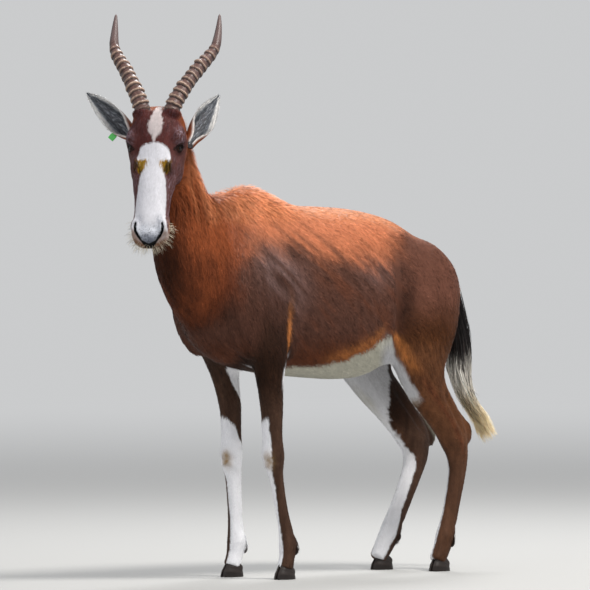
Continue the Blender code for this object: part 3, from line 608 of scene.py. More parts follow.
def head_ring(along, face, jaw, half, jaw_share, face_share):
    """One section of the skull."""
    middle, reach = (face + jaw) / 2, (face - jaw) / 2
    ring = []
    for s, c in around(RING_SIDES):
        width = half * (1 - (1 - (face_share if c > 0 else jaw_share)) * c * c)
        ring.append(head_point(width * rounded(s, 0.72), along, middle + reach * rounded(c, 0.80)))
    return ring


def head_turn():
    """The rotation from the head's own frame, as a matrix."""
    return Matrix(head_axes()).transposed()


# Swellings of the head, in its own frame: centre and radii. Those of the left side are mirrored.
SIDE_BULGES = (
    ((0.056, 0.072, -0.024), (0.018, 0.022, 0.018)),
    ((0.058, 0.062, -0.052), (0.020, 0.040, 0.034)),
    ((0.050, 0.122, -0.072), (0.016, 0.050, 0.044)),
    ((0.038, 0.146, -0.020), (0.016, 0.030, 0.014)),
    ((0.031, 0.306, -0.022), (0.017, 0.026, 0.017)),
    ((0.027, 0.302, -0.052), (0.017, 0.034, 0.016)),
    ((0.037, 0.006, -0.030), (0.026, 0.017, 0.027)),
)
MIDDLE_BULGES = (
    ((0, 0.026, -0.094), (0.046, 0.054, 0.034)),
    ((0, 0.320, -0.062), (0.025, 0.026, 0.016)),
    ((0, 0.326, -0.026), (0.032, 0.024, 0.020)),
)


def head_forms():
    """The skull, and the swellings of brow, cheek, muzzle and lips on it."""
    forms = [loft("skull_form", [head_ring(*row) for row in smooth_curve(HEAD, 4)])]
    places = [((x * side, y, z), radii) for side in (-1, 1) for (x, y, z), radii in SIDE_BULGES]
    for place, radii in (*places, *MIDDLE_BULGES):
        forms.append(ellipsoid("bulge_form", head_point(*place), radii, head_turn()))
    return forms


# The rows of the legs at the hock, the thigh's lower end and the knee.
HOCK_ROW, THIGH_ROW, KNEE_ROW = 8, 5, 7


def body_forms():
    """The trunk, neck and legs, and the swellings of crest, joints and bones on them."""
    forms = [torso(), limb("neck_form", NECK)]
    forms.append(ellipsoid("crest_form", Vector((0, -0.086, 0.933)), (0.036, 0.088, 0.042)))
    for side, sign in SIDES:
        hindleg, foreleg = HINDLEG[side], FORELEG[side]
        heel = Vector(hindleg[HOCK_ROW][:3]) + Vector(HEEL[side])
        x, y, z, _, deep = hindleg[THIGH_ROW]
        cord_top, cord_foot = Vector((x, y + deep - 0.012, z)), heel + Vector((0, 0.010, 0.014))
        knee_back = Vector(foreleg[KNEE_ROW][:3]) + Vector((0, 0.020, 0))
        forms += [
            limb("shoulder_form", mirrored(SHOULDER, sign)),
            limb("haunch_form", mirrored(HAUNCH, sign)),
            limb("foreleg_form", foreleg),
            limb("hindleg_form", hindleg),
            ellipsoid("hock_form", heel, (0.0130, 0.024, 0.034)),
            limb("cord_form", [(*cord_top.lerp(cord_foot, k / 4), 0.0105, 0.0105) for k in range(5)]),
            ellipsoid("knee_form", knee_back, (0.015, 0.014, 0.020)),
            ellipsoid("hip_form", Vector((0.094 * sign, 0.470, 0.850)), (0.026, 0.036, 0.030)),
            ellipsoid("seat_form", Vector((0.062 * sign, 0.670, 0.705)), (0.044, 0.048, 0.090)),
        ]
    forms.append(limb("dock_form", [(*p, 0.020, 0.020) for p in TAIL_LINE[:2]]))
    return forms


def head_share(points):
    """1 on the head, 0 on the body, and a smooth change where the neck meets it."""
    heading = np.array((math.sin(HEAD_TURN), -math.cos(HEAD_TURN), 0.0))
    ahead = (points - np.array(POLL)) @ heading
    rise = points[:, 2] - POLL.z
    edge = np.array(HEAD_EDGE[::-1])
    return ramp(ahead - np.interp(rise, edge[:, 1], edge[:, 0]), -0.012, 0.022)


def softness(points):
    """How strongly the fused body is smoothed here: most where the forms meet."""
    rise = points[:, 2]
    soft = 0.12 + 0.88 * np.clip((rise - 0.43) / 0.08, 0.0, 1.0)
    return np.where(rise > 1.05, 0.35, soft)


# Places on the body


def legs():
    """Each leg's side and its rows from the ground up: left and right in front, then behind."""
    for rows in (FORELEG, HINDLEG):
        for side, sign in SIDES:
            yield sign, np.array(rows[side][::-1])


def at_height(rows, height, *wanted):
    """Columns of rows of x, y, z and so on, at each height."""
    return [np.interp(height, rows[:, 2], rows[:, column]) for column in wanted]


def leg_places(points):
    """For each point: the nearest leg, its angle round that leg, and its distance in radii.

    The angle is 0 at the front of the leg, 90 on its outer side and -90 on its inner side.
    """
    best = np.full(len(points), 1e9)
    which = np.zeros(len(points), int)
    angle = np.zeros(len(points))
    for k, (sign, rows) in enumerate(legs()):
        x, y, half, deep = at_height(rows, points[:, 2], 0, 1, 3, 4)
        outward, back = (points[:, 0] - x) * sign, points[:, 1] - y
        radii = np.hypot(outward / half, back / deep)
        nearer = radii < best
        best = np.where(nearer, radii, best)
        which = np.where(nearer, k, which)
        angle = np.where(nearer, np.degrees(np.arctan2(outward, -back)), angle)
    return which, angle, best


def leg_share(points, places):
    """1 on the free part of a leg, fading out over the shoulder and the thigh."""
    which, _, radii = places
    hind = which > 1
    top = np.where(hind, 0.60, 0.585)
    near = 1 - ramp(radii, 1.25, 1.7)
    return near * (1 - ramp(points[:, 2], top - 0.045, top + 0.03))


def nearest_on(points, path):
    """The distance of each point from a line of points, and how far along it that is."""
    path = np.array(path, float)
    lengths = np.r_[0.0, np.cumsum(np.linalg.norm(np.diff(path, axis=0), axis=1))]
    best = np.full(len(points), 1e9)
    share = np.zeros(len(points))
    for k in range(len(path) - 1):
        way = path[k + 1] - path[k]
        t = np.clip((points - path[k]) @ way / (way @ way), 0.0, 1.0)
        gap = np.linalg.norm(points - path[k] - t[:, None] * way, axis=1)
        nearer = gap < best
        best = np.where(nearer, gap, best)
        share = np.where(nearer, (lengths[k] + t * (lengths[k + 1] - lengths[k])) / lengths[-1], share)
    return best, share


def bump(points, centre, radii, height):
    """A rounded swelling, or a hollow where the height is below zero."""
    away = (points - np.array(centre)) / np.array(radii)
    return height * np.exp(-0.5 * np.sum(away * away, axis=1))


def side_bump(points, y, z, deep, high, height):
    """A swelling placed by how far back and how high it is, alike across the body."""
    return bump(points * (0, 1, 1), (0, y, z), (1, deep, high), height)


def fold(points, path, width, height):
    """A ridge or groove along a line, running out at both ends."""
    gap, share = nearest_on(points, path)
    ends = window(share, 0.0, 0.2, 0.8, 1.0)
    return height * hump(gap, 0, width) * (0.25 + 0.75 * ends)


def relief_of(points, swells, folds):
    """How far swellings and folds together move each point."""
    total = np.zeros(len(points))
    for centre, radii, height in swells:
        total += bump(points, centre, radii, height)
    for path, width, height in folds:
        total += fold(points, path, width, height)
    return total


# Swellings (+) and hollows (-) of the body, for the left side and mirrored: centre, radii, height.
BODY_SWELLS = (
    ((0.118, 0.020, 0.660), (0.030, 0.036, 0.055), 0.0050),
    ((0.106, -0.105, 0.700), (0.030, 0.030, 0.040), 0.0035),
    ((0.118, 0.066, 0.590), (0.020, 0.018, 0.022), 0.0040),
    ((0.130, 0.092, 0.740), (0.035, 0.018, 0.100), -0.0040),
    ((0.072, -0.030, 0.870), (0.020, 0.050, 0.040), 0.0030),
    ((0.130, 0.400, 0.790), (0.045, 0.045, 0.050), -0.0060),
    ((0.100, 0.470, 0.862), (0.030, 0.032, 0.026), 0.0035),
    ((0.130, 0.545, 0.700), (0.030, 0.050, 0.080), 0.0045),
    ((0.134, 0.488, 0.580), (0.025, 0.026, 0.032), 0.0040),
    ((0.095, 0.640, 0.760), (0.035, 0.030, 0.045), 0.0030),
    ((0.108, 0.640, 0.600), (0.030, 0.028, 0.070), 0.0030),
    ((0.030, 0.618, 0.880), (0.075, 0.050, 0.055), -0.0140),
    ((0.030, 0.680, 0.840), (0.070, 0.036, 0.045), -0.0100),
    ((0.000, -0.205, 0.700), (0.028, 0.030, 0.050), 0.0060),
    ((0.052, -0.185, 0.720), (0.016, 0.030, 0.050), -0.0030),
)
# Ridges and grooves of the body: the line, its width and its height.
BODY_FOLDS = (
    (((0.055, 0.010, 0.930), (0.092, -0.020, 0.840), (0.118, -0.055, 0.740)), 0.012, 0.0022),
    (
        ((0.128, 0.440, 0.820), (0.142, 0.434, 0.740), (0.142, 0.436, 0.660), (0.132, 0.442, 0.600)),
        0.013, -0.0060,
    ),
    (((0.140, 0.405, 0.700), (0.142, 0.408, 0.640), (0.128, 0.418, 0.590)), 0.016, 0.0045),
    (((0.100, 0.600, 0.830), (0.136, 0.590, 0.730), (0.140, 0.566, 0.620)), 0.012, -0.0028),
    (((0.085, 0.680, 0.760), (0.120, 0.655, 0.660), (0.122, 0.630, 0.560)), 0.012, -0.0030),
    (((0.115, -0.020, 0.790), (0.130, 0.030, 0.710), (0.124, 0.072, 0.620)), 0.010, -0.0028),
    (
        ((0.048, -0.245, 1.060), (0.052, -0.225, 0.960), (0.066, -0.205, 0.860), (0.070, -0.190, 0.770)),
        0.012, -0.0036,
    ),
    (((0.046, -0.200, 1.050), (0.054, -0.170, 0.950), (0.070, -0.130, 0.870)), 0.014, -0.0022),
    (((0.020, -0.305, 1.000), (0.026, -0.295, 0.930), (0.040, -0.275, 0.850)), 0.012, 0.0020),
    (((0.120, -0.010, 0.640), (0.110, -0.020, 0.590), (0.104, -0.012, 0.540)), 0.009, -0.0022),
)
# The same for the head, in its own frame.
HEAD_SWELLS = (
    ((0.059, 0.074, -0.014), (0.012, 0.018, 0.011), 0.0030),
    ((0.066, 0.040, -0.052), (0.016, 0.016, 0.020), -0.0034),
    ((0.062, 0.110, -0.096), (0.020, 0.034, 0.026), 0.0026),
    ((0.052, 0.185, -0.062), (0.018, 0.040, 0.013), -0.0034),
    ((0.044, 0.210, -0.088), (0.018, 0.040, 0.012), 0.0016),
    ((0.000, 0.210, 0.000), (0.017, 0.090, 0.020), 0.0018),
    ((0.042, 0.240, -0.014), (0.010, 0.045, 0.012), -0.0022),
    ((0.040, 0.136, -0.006), (0.013, 0.020, 0.014), 0.0028),
    ((0.041, 0.307, -0.010), (0.009, 0.017, 0.012), 0.0030),
    ((0.040, 0.318, -0.040), (0.014, 0.022, 0.010), 0.0022),
    ((0.020, 0.344, -0.054), (0.018, 0.014, 0.007), 0.0018),
    ((0.000, 0.070, 0.004), (0.030, 0.034, 0.016), 0.0020),
    ((0.062, 0.118, -0.040), (0.012, 0.012, 0.012), -0.0016),
)
HEAD_FOLDS = (
    (((0.060, 0.120, -0.050), (0.053, 0.170, -0.048), (0.049, 0.225, -0.046)), 0.007, 0.0024),
    (
        ((0.070, 0.050, -0.100), (0.062, 0.110, -0.126), (0.048, 0.170, -0.112), (0.040, 0.230, -0.092)),
        0.008, 0.0018,
    ),
    (((0.056, 0.126, -0.090), (0.054, 0.160, -0.082), (0.050, 0.180, -0.060)), 0.003, 0.0009),
    (((0.050, 0.270, -0.056), (0.052, 0.262, -0.064)), 0.006, -0.0014),
)
# The line of the nostril and the wet groove below it, in the head's own frame.
NOSTRIL = (
    (0.0330, 0.303, -0.003),
    (0.0350, 0.312, -0.007),
    (0.0338, 0.322, -0.013),
    (0.0280, 0.331, -0.018),
    (0.0195, 0.340, -0.025),
    (0.0100, 0.348, -0.032),
    (0.0000, 0.353, -0.040),
)
GLAND = ((0.0400, 0.143, -0.004), (0.0425, 0.152, -0.007), (0.0440, 0.163, -0.010))


def nostril_gap(alike):
    """The distance from the nostril's line and the share along it, with both sides alike."""
    flat = (1, 1, 0.45)
    return nearest_on(alike * flat, np.array(NOSTRIL) * flat)


def eye_frame(side):
    """The eye's centre, and its frame: along the lids, up, and out along the gaze."""
    left, down_face, face = head_axes()
    centre = head_point(EYE_PLACE[0] * side, EYE_PLACE[1], EYE_PLACE[2])
    gaze = (left * EYE_GAZE[0] * side + down_face * EYE_GAZE[1] + face * EYE_GAZE[2]).normalized()
    length = face * 0.90 + down_face * 0.45
    length = (length - gaze * length.dot(gaze)).normalized()
    height = gaze.cross(length)
    if height.z < 0:
        height.negate()
    return centre, Matrix((length, height, gaze)).transposed()


def in_eye(points, side):
    """Points in the frame of one eye."""
    centre, turn = eye_frame(side)
    return (points - np.array(centre)) @ np.array(turn)


def lid_edge(along):
    """Half the height of the eye's opening at a place along it."""
    share = np.clip(1 - (along / EYE_OPENING[0]) ** 2, 0.0, 1.0)
    return EYE_OPENING[1] * share**0.625


def mouth_level(across, along):
    """How far below the face the lips meet, lower towards the mouth's corners."""
    return -0.047 - 0.16 * (0.343 - along) + 0.10 * abs(across)


def shaped_eyes(points):
    """The skin drawn over each eyeball as lids, and out of sight inside the opening."""
    for side in (1, -1):
        centre, turn = eye_frame(side)
        local = in_eye(points, side)
        along, up, out = local.T
        spread = np.hypot(along, up)
        near = (spread < 0.036) & (out > -0.006)
        lid = EYE_RADIUS + 0.0022
        dome = np.sqrt(np.clip(lid**2 - spread**2, 0.0, None)) - 2.5 * np.clip(spread - lid, 0.0, None)
        raised = 0.5 * (out + dome + np.sqrt((out - dome) ** 2 + 0.0035**2)) - 0.0006
        share = 1 - ramp(spread, 0.024, 0.034)
        shaped = out + (raised - out) * share
        edge = lid_edge(along)
        crease = np.where(up > 0, 0.0020, 0.0011) * hump(abs(up) - edge, 0.0044, 0.0014)
        shaped -= crease * (1 - ramp(abs(along), 0.012, 0.018))
        inside = ramp(edge - abs(up), -0.0003, 0.0009) * (abs(along) < EYE_OPENING[0])
        hidden = np.sqrt(np.clip(EYE_RADIUS**2 - spread**2, 0.0, None)) - 0.0030
        shaped = shaped + (hidden - shaped) * inside
        local[:, 2] = np.where(near, shaped, out)
        points = np.where(near[:, None], local @ np.array(turn).T + np.array(centre), points)
    return points


def head_relief(alike):
    """How far the head's skin moves out, from its own frame with both sides alike."""
    total = relief_of(alike, HEAD_SWELLS, HEAD_FOLDS)
    across, along, out = alike.T
    gap, share = nostril_gap(alike)
    width = np.interp(share, (0.0, 0.15, 0.4, 0.7, 1.0), (0.0012, 0.0027, 0.0026, 0.0016, 0.0014))
    depth = np.interp(share, (0.0, 0.15, 0.45, 0.7, 1.0), (0.004, 0.0085, 0.0070, 0.0018, 0.0010))
    total -= depth * hump(gap, 0, width)
    total += 0.0013 * hump(gap, 0.0052, 0.0024) * (1 - ramp(share, 0.5, 0.8))
    lips = ramp(along, 0.262, 0.274)
    rise = out - mouth_level(across, along)
    total -= 0.0030 * hump(rise, 0, 0.0012) * lips
    total += 0.0011 * hump(abs(rise), 0.0045, 0.0026) * lips
    total -= 0.0016 * hump(across, 0, 0.0012) * ramp(along, 0.338, 0.346) * (out > -0.050)
    gap, _ = nearest_on(alike, GLAND)
    total += 0.0016 * hump(gap, 0.0050, 0.0030) - 0.0024 * hump(gap, 0, 0.0016)
    return total


# Swellings (+) and hollows (-) of the legs: which legs, height, middle and width up the leg, and
# middle and width in degrees from the front.
LEG_SWELLS = (
    ("fore", 0.0016, 0.318, 0.010, 0, 60),
    ("fore", -0.0014, 0.297, 0.005, 0, 70),
    ("fore", 0.0012, 0.286, 0.007, 0, 60),
    ("fore", 0.0018, 0.335, 0.012, 95, 30),
    ("all", 0.0016, 0.090, 0.014, 90, 40),
    ("all", -0.0016, 0.116, 0.008, 150, 40),
    ("hind", 0.0020, 0.325, 0.016, 80, 30),
    ("hind", -0.0018, 0.352, 0.010, 60, 35),
)


def leg_relief(points, places):
    """Tendons, joints and bones of the legs."""
    which, angle, _ = places
    rise = points[:, 2]
    hind = which > 1
    total = np.zeros(len(points))
    band = np.where(hind, window(rise, 0.10, 0.14, 0.24, 0.30), window(rise, 0.10, 0.13, 0.22, 0.27))
    gaskin = window(rise, 0.335, 0.37, 0.43, 0.50) * hind
    total -= 0.0018 * band * hump(abs(angle), 112, 16) + 0.0052 * gaskin * hump(abs(angle), 128, 20)
    for legs_meant, height, middle, width, turn, spread in LEG_SWELLS:
        meant = {"fore": ~hind, "hind": hind, "all": 1.0}[legs_meant]
        total += height * meant * hump(rise, middle, width) * hump(abs(angle), turn, spread)
    vein = window(rise, 0.37, 0.42, 0.50, 0.56)
    total += 0.0009 * vein * hump(angle + 160 * (rise - 0.45), -30, 5)
    return total


def body_relief(points):
    """Muscles and folds of the trunk and neck, and a hint of the ribs."""
    across, back, rise = abs(points[:, 0]), points[:, 1], points[:, 2]
    total = relief_of(columns(across, back, rise), BODY_SWELLS, BODY_FOLDS)
    ribs = window(back, 0.11, 0.16, 0.33, 0.40)
    ribs *= window(rise, 0.58, 0.66, 0.80, 0.88) * ramp(across, 0.08, 0.12)
    total += 0.0004 * ribs * np.sin((back + 0.25 * (rise - 0.7)) * 2 * math.pi / 0.031)
    return total


def refine(obj, wanted):
    """Splits the faces whose corners are all wanted, and smooths the new ones."""
    mask = wanted(points_of(obj.data))
    bm = bmesh.new()
    bm.from_mesh(obj.data)
    edges = [edge for edge in bm.edges if mask[edge.verts[0].index] and mask[edge.verts[1].index]]
    bmesh.ops.subdivide_edges(bm, edges=edges, cuts=1, use_grid_fill=True)
    bm.to_mesh(obj.data)
    bm.free()
    points = points_of(obj.data)
    weights = wanted(points).astype(float)
    set_points(obj.data, relaxed(points, edges_of(obj.data), weights, 2))


def face_detail(points):
    """The parts of the head that take the finest mesh: eyes, glands, nose and mouth."""
    across, along, out = in_head(points).T
    fine = (along > 0.272) & (head_share(points) > 0.5)
    for side in (1, -1):
        local = in_eye(points, side)
        fine |= (np.hypot(local[:, 0], local[:, 1]) < 0.025) & (local[:, 2] > -0.002)
    gap, _ = nearest_on(columns(abs(across), along, out), GLAND)
    return fine | (gap < 0.012)


def make_skin():
    """One closed skin over the whole body, with the head in finer mesh."""
    skin = joined("skin", body_forms() + head_forms())
    remesh = skin.modifiers.new("fuse", "REMESH")
    remesh.mode = "VOXEL"
    remesh.voxel_size = SKIN_VOXEL
    apply_modifiers(skin)
    points, edges = points_of(skin.data), edges_of(skin.data)
    points = relaxed(points, edges, np.ones(len(points)), EVEN_PASSES)
    weights = softness(points) * (1 - head_share(points))
    set_points(skin.data, relaxed(points, edges, weights, FUSING_PASSES))
    refine(skin, lambda rows: head_share(rows) > 0.3)
    refine(skin, face_detail)
    points, normals = points_of(skin.data), normals_of(skin.data)
    head, places = head_share(points), leg_places(points)
    leg = leg_share(points, places)
    depth = BODY_DEPTH + (LEG_DEPTH - BODY_DEPTH) * leg + (HEAD_DEPTH - BODY_DEPTH) * head
    across, along, out = in_head(points).T
    relief = head_relief(columns(abs(across), along, out)) * head
    relief += body_relief(points) * (1 - head) * (1 - leg) + leg_relief(points, places) * leg
    set_points(skin.data, shaped_eyes(points + normals * (relief - depth)[:, None]))
    skin.data.shade_smooth()
    return skin


# The markings

COLOURS = {
    name: srgb(*value)
    for name, value in {
        "flank": (88, 57, 46),
        "low_flank": (92, 45, 19),
        "saddle": (188, 114, 80),
        # painted light: the saddle made paler where the back faces up
        "lit_saddle_top": (198, 130, 86),
        # withers: their own orange, made brighter as painted sunlight
        "withers": (222, 142, 96),
        "shoulder": (76, 48, 38),
        "sheen": (140, 118, 116),
        "neck": (138, 71, 39),
        # neck_low: the lower neck's own red-brown, also laid as painted shade and as a painted highlight
        "neck_low": (98, 50, 30),
        # chest: its own dark brown, darkened further as painted shade
        "chest": (20, 8, 3),
        # a dark colour for painted shade
        "throat_shade": (40, 20, 10),
        "rump": (102, 65, 52),
        "thigh": (72, 40, 19),
        "tail_root": (182, 112, 60),
        "elbow": (214, 134, 72),
        # belly: the belly's white, painted darker and duller than the legs' as shade
        "belly": (184, 181, 166),
        "arm": (48, 29, 19),
        "gaskin": (106, 67, 43),
        "leg_dark": (74, 53, 42),
        "leg_white": (243, 243, 247),
        "callus": (150, 122, 84),
        "forehead": (82, 42, 39),
        "cheek": (86, 52, 49),
        "jaw": (132, 70, 39),
        "blaze": (220, 219, 225),
        "diamond": (206, 196, 196),
        # brow: painted sheen, laid in pale flecks on the face
        "brow": (176, 164, 180),
        "nose": (122, 127, 140),
        "nose_pale": (206, 209, 218),
        "nose_dark": (7, 7, 8),
        "lip": (138, 104, 84),
        "chin": (150, 132, 120),
        "yellow": (150, 112, 6),
        "amber": (48, 38, 14),
        "eye_rim": (26, 18, 17),
    }.items()
}

# Half the width of the white of the face, by the distance along it from the poll.
DIAMOND = (
    (-0.012, 0.0080), (0.004, 0.0085), (0.018, 0.0125), (0.036, 0.0180), (0.056, 0.0175),
    (0.072, 0.0105), (0.084, 0.0040), (0.094, 0.0014),
)
BLAZE = (
    (0.092, 0.0060), (0.096, 0.0200), (0.102, 0.0300), (0.110, 0.0362), (0.122, 0.0402),
    (0.136, 0.0410), (0.149, 0.0388), (0.162, 0.0325), (0.173, 0.0295), (0.190, 0.0330),
    (0.215, 0.0360), (0.255, 0.0378), (0.285, 0.0385), (0.300, 0.0430), (0.320, 0.0460),
)
# Height of the edge of the white belly along the body.
BELLY_EDGE = (
    (-0.12, 0.530), (0.00, 0.526), (0.05, 0.530), (0.20, 0.534), (0.28, 0.546), (0.34, 0.570),
    (0.385, 0.600), (0.42, 0.618), (0.47, 0.600),
)
# Height of the middle of the change from the red back to the dark flank.
SADDLE_EDGE = (
    (-0.15, 0.84), (0.00, 0.860), (0.10, 0.850), (0.22, 0.815), (0.35, 0.800), (0.43, 0.820),
    (0.50, 0.852), (0.60, 0.862), (0.70, 0.835),
)
# Angles round the legs, by height, between which the coat is white: from the inner side to the outer.
FORE_WHITE_FROM = (
    (0.05, -170), (0.26, -165), (0.330, -138), (0.350, -96), (0.365, -83), (0.385, -64),
    (0.400, -31), (0.411, 0),
)
FORE_WHITE_TO = (
    (0.05, 16), (0.098, 11), (0.148, 6), (0.199, 18), (0.250, 24), (0.275, 30), (0.300, 40),
    (0.350, 42), (0.385, 30), (0.411, 24),
)
FORE_INNER = (
    (0.440, -175), (0.451, -133), (0.476, -91), (0.501, -64), (0.530, -50),
)
HIND_WHITE_FROM = (
    (0.05, -100), (0.093, -100), (0.124, -91), (0.157, -70), (0.220, -67), (0.270, -56),
    (0.296, -28), (0.308, -14), (0.337, -4), (0.368, -8), (0.402, -18), (0.421, -32), (0.447, -60),
    (0.473, -98), (0.481, -116), (0.495, -131), (0.560, -136), (0.660, -142),
)
HIND_WHITE_TO = (
    (0.05, -8), (0.10, -4), (0.22, -14), (0.30, -14), (0.34, -18), (0.365, -32), (0.40, -24),
    (0.43, -12), (0.45, 2), (0.47, 8),
)
# How far back the white of the flank fold reaches down the front of the thigh, by height.
THIGH_EDGE = (
    (0.440, 0.548), (0.451, 0.538), (0.489, 0.506), (0.539, 0.472), (0.589, 0.436), (0.612, 0.414),
    (0.630, 0.382),
)


def table(values, rows):
    """Values read off a table of pairs, with straight lines between."""
    rows = np.array(rows, float)
    return np.interp(values, rows[:, 0], rows[:, 1])


def streaks(points, seed):
    """Noise drawn out along the lie of the coat."""
    x, y, z = points.T
    flank = np.stack((x / 0.05, (y - 0.9 * z) / 0.11, (0.9 * y + z) / 0.017), axis=1)
    hanging = np.stack((x / 0.012, y / 0.012, z / 0.08), axis=1)
    share = ramp(y, -0.10, 0.02) * ramp(z, 0.50, 0.56)
    return noise(flank, seed) * share + noise(hanging, seed + 1) * (1 - share)


def painted(colour, *layers):
    """Colours laid over one another: the name of each and its share for each row."""
    for name, share in layers:
        colour = blend(colour, COLOURS[name], np.clip(share, 0, 1))
    return colour


def thigh_brown(points, places, ragged):
    """The brown outer side of the thigh, behind the white of the flank fold."""
    which, angle, _ = places
    edge = table(points[:, 2], THIGH_EDGE)
    inward = np.where(which == 3, 22, -30)
    behind = ramp(points[:, 1] + 0.003 * ragged, edge - 0.005, edge + 0.006)
    return behind * ramp(angle, inward, inward + 14)


def leg_white(points, places, ragged):
    """Where the legs are white."""
    which, angle, radii = places
    rise = points[:, 2]
    hind, left = which > 1, which % 2 == 0
    turn = angle + 5 * ragged
    fore_to = table(rise, FORE_WHITE_TO) + np.where(left, -6, -14 + 32 * ramp(rise, 0.24, 0.285))
    fore = past(turn, table(rise, FORE_WHITE_FROM), 5) * (1 - past(turn, fore_to, 5))
    fore *= 1 - ramp(rise + 0.005 * ragged, 0.398, 0.410)
    inside = (1 - past(turn, table(rise, FORE_INNER), 5)) * (turn > -172) * ramp(rise, 0.43, 0.45)
    inside *= 1 - ramp(rise + 0.004 * ragged, 0.532, 0.548)
    edge = np.interp(rise, (0.49, 0.530, 0.555, 0.575), (116, 122, 146, 178))
    behind = ramp(turn, edge, edge + 14) * ramp(rise, 0.470, 0.510) * (1 - ramp(radii, 1.12, 1.25))
    right = np.where(left, 0, 1)
    hind_to = table(rise, HIND_WHITE_TO) + right * 32 * (1 - ramp(rise, 0.40, 0.46))
    hind_to += right * 34 * hump(rise, 0.350, 0.060)
    outer = past(turn, hind_to, 5)
    outer = outer + (thigh_brown(points, places, ragged) - outer) * ramp(rise, 0.430, 0.455)
    back = past(turn, table(rise, HIND_WHITE_FROM), 5) * (1 - outer)
    return np.where(hind, back, np.maximum.reduce([fore, inside, behind]))


# Where light catches the flank: how far back, how high, depth, height and strength.
SHEEN = (
    (0.000, 0.800, 0.045, 0.055, 0.60),
    (0.085, 0.730, 0.030, 0.050, 0.40),
    (0.350, 0.775, 0.050, 0.030, 0.55),
)


def trunk_colours(points, normals, level, grain, fine):
    """The trunk: a dark flank and shoulder under a red saddle, and a brown rump and thigh."""
    _, y, z = points.T
    edge, spread = table(y, SADDLE_EDGE), 0.050 + 0.030 * ramp(y, 0.36, 0.50)
    sheen = sum(side_bump(points, *spot) for spot in SHEEN)
    # Painted shade in the groove of the flank fold, before the thigh.
    hollow = side_bump(points, 0.468, 0.665, 0.026, 0.065, 0.65)
    return painted(
        COLOURS["flank"],
        ("low_flank", 0.9 * (1 - ramp(level, 0.545, 0.635))),
        ("shoulder", side_bump(points, -0.010, 0.690, 0.085, 0.110, 1.25)),
        ("sheen", np.clip(sheen * (0.45 + 0.55 * grain), 0, 0.75)),
        ("low_flank", np.clip(0.45 * grain, 0, 0.4) * ramp(y, 0.05, 0.12)),
        ("saddle", past(level + 0.016 * grain + 0.006 * fine, edge, spread)),
        ("rump", ramp(y, 0.40, 0.52) * (1 - past(level, edge + 0.02, 0.05))),
        ("thigh", ramp(y, 0.42, 0.48) * (1 - ramp(level, 0.60, 0.73))),
        # painted light: paler where the top of the back faces up
        ("lit_saddle_top", 0.8 * ramp(normals[:, 2], 0.55, 0.98) * ramp(z, 0.84, 0.90)),
        ("tail_root", 0.60 * ramp(y + 0.004 * grain, 0.672, 0.712) * window(z, 0.680, 0.740, 0.800, 0.830)),
        # painted shade in the flank fold
        ("throat_shade", np.clip(hollow * (1 + 0.3 * grain), 0, 0.7)),
        ("arm", 0.85 * (1 - ramp(abs(y), 0.045, 0.085)) * (1 - ramp(level, 0.600, 0.720))),
    )


def neck_colours(points, normals, level, grain):
    """The neck: orange on its sides, darker towards the chest, partly as painted shade, with painted shade
    down its forward-facing front and a painted highlight low on its side.
    """
    z, ahead = points[:, 2], -normals[:, 1]
    # A painted highlight low on the side of the neck.
    glow = side_bump(points, -0.200, 0.735, 0.035, 0.050, 0.55)
    return painted(
        COLOURS["neck_low"],
        ("neck", ramp(level, 0.755, 0.860)),
        # the chest's own dark brown, darker still as painted shade
        ("chest", 1 - ramp(level, 0.610, 0.715)),
        # painted shade: darker where the neck faces forward, below the head
        ("neck_low", 0.65 * ramp(ahead, 0.10, 0.80) * (1 - ramp(z, 0.90, 1.06))),
        ("throat_shade", 0.85 * ramp(ahead, 0.40, 0.95) * (1 - ramp(z, 0.80, 0.97))),
        ("neck", np.clip(glow * (1 + 0.6 * grain), 0, 0.8)),
    )


def limb_colours(points, places, grain, fine):
    """The legs: brown outside and in front, and white where leg_white says."""
    _, y, z = points.T
    which, angle, _ = places
    hind = y > 0.4
    outer = ramp(y, 0.42, 0.50) * (0.30 + 0.70 * ramp(z, 0.24, 0.42)) * ramp(angle, -40, 20)
    # A painted highlight along the tendon of each hind leg, in the lower neck's red.
    tendon_highlight = hump(angle + 260 * (z - 0.38), 75, 16) * window(z, 0.27, 0.33, 0.46, 0.54)
    brown = painted(
        COLOURS["leg_dark"],
        ("gaskin", outer),
        # painted light: the right foreleg takes little of this dark, to stay lighter in its shade
        ("arm", (1 - ramp(y, 0.1, 0.2)) * ramp(z, 0.40, 0.52) * (1 - 0.8 * (which == 1))),
        ("arm", 0.9 * (which == 3) * ramp(z, 0.34, 0.40)),
        ("thigh", hind * ramp(z, 0.56, 0.64)),
        ("neck_low", 0.5 * tendon_highlight * hind),
    )
    brown = brown * (1 + 0.12 * grain + 0.06 * fine)[:, None]
    # Painted shade: the hind legs' white darker, most towards the inner thigh.
    white = COLOURS["leg_white"] * (1 - hind * (0.10 + 0.22 * ramp(z, 0.36, 0.46)))[:, None]
    return blend(brown, white, leg_white(points, places, fine + grain))


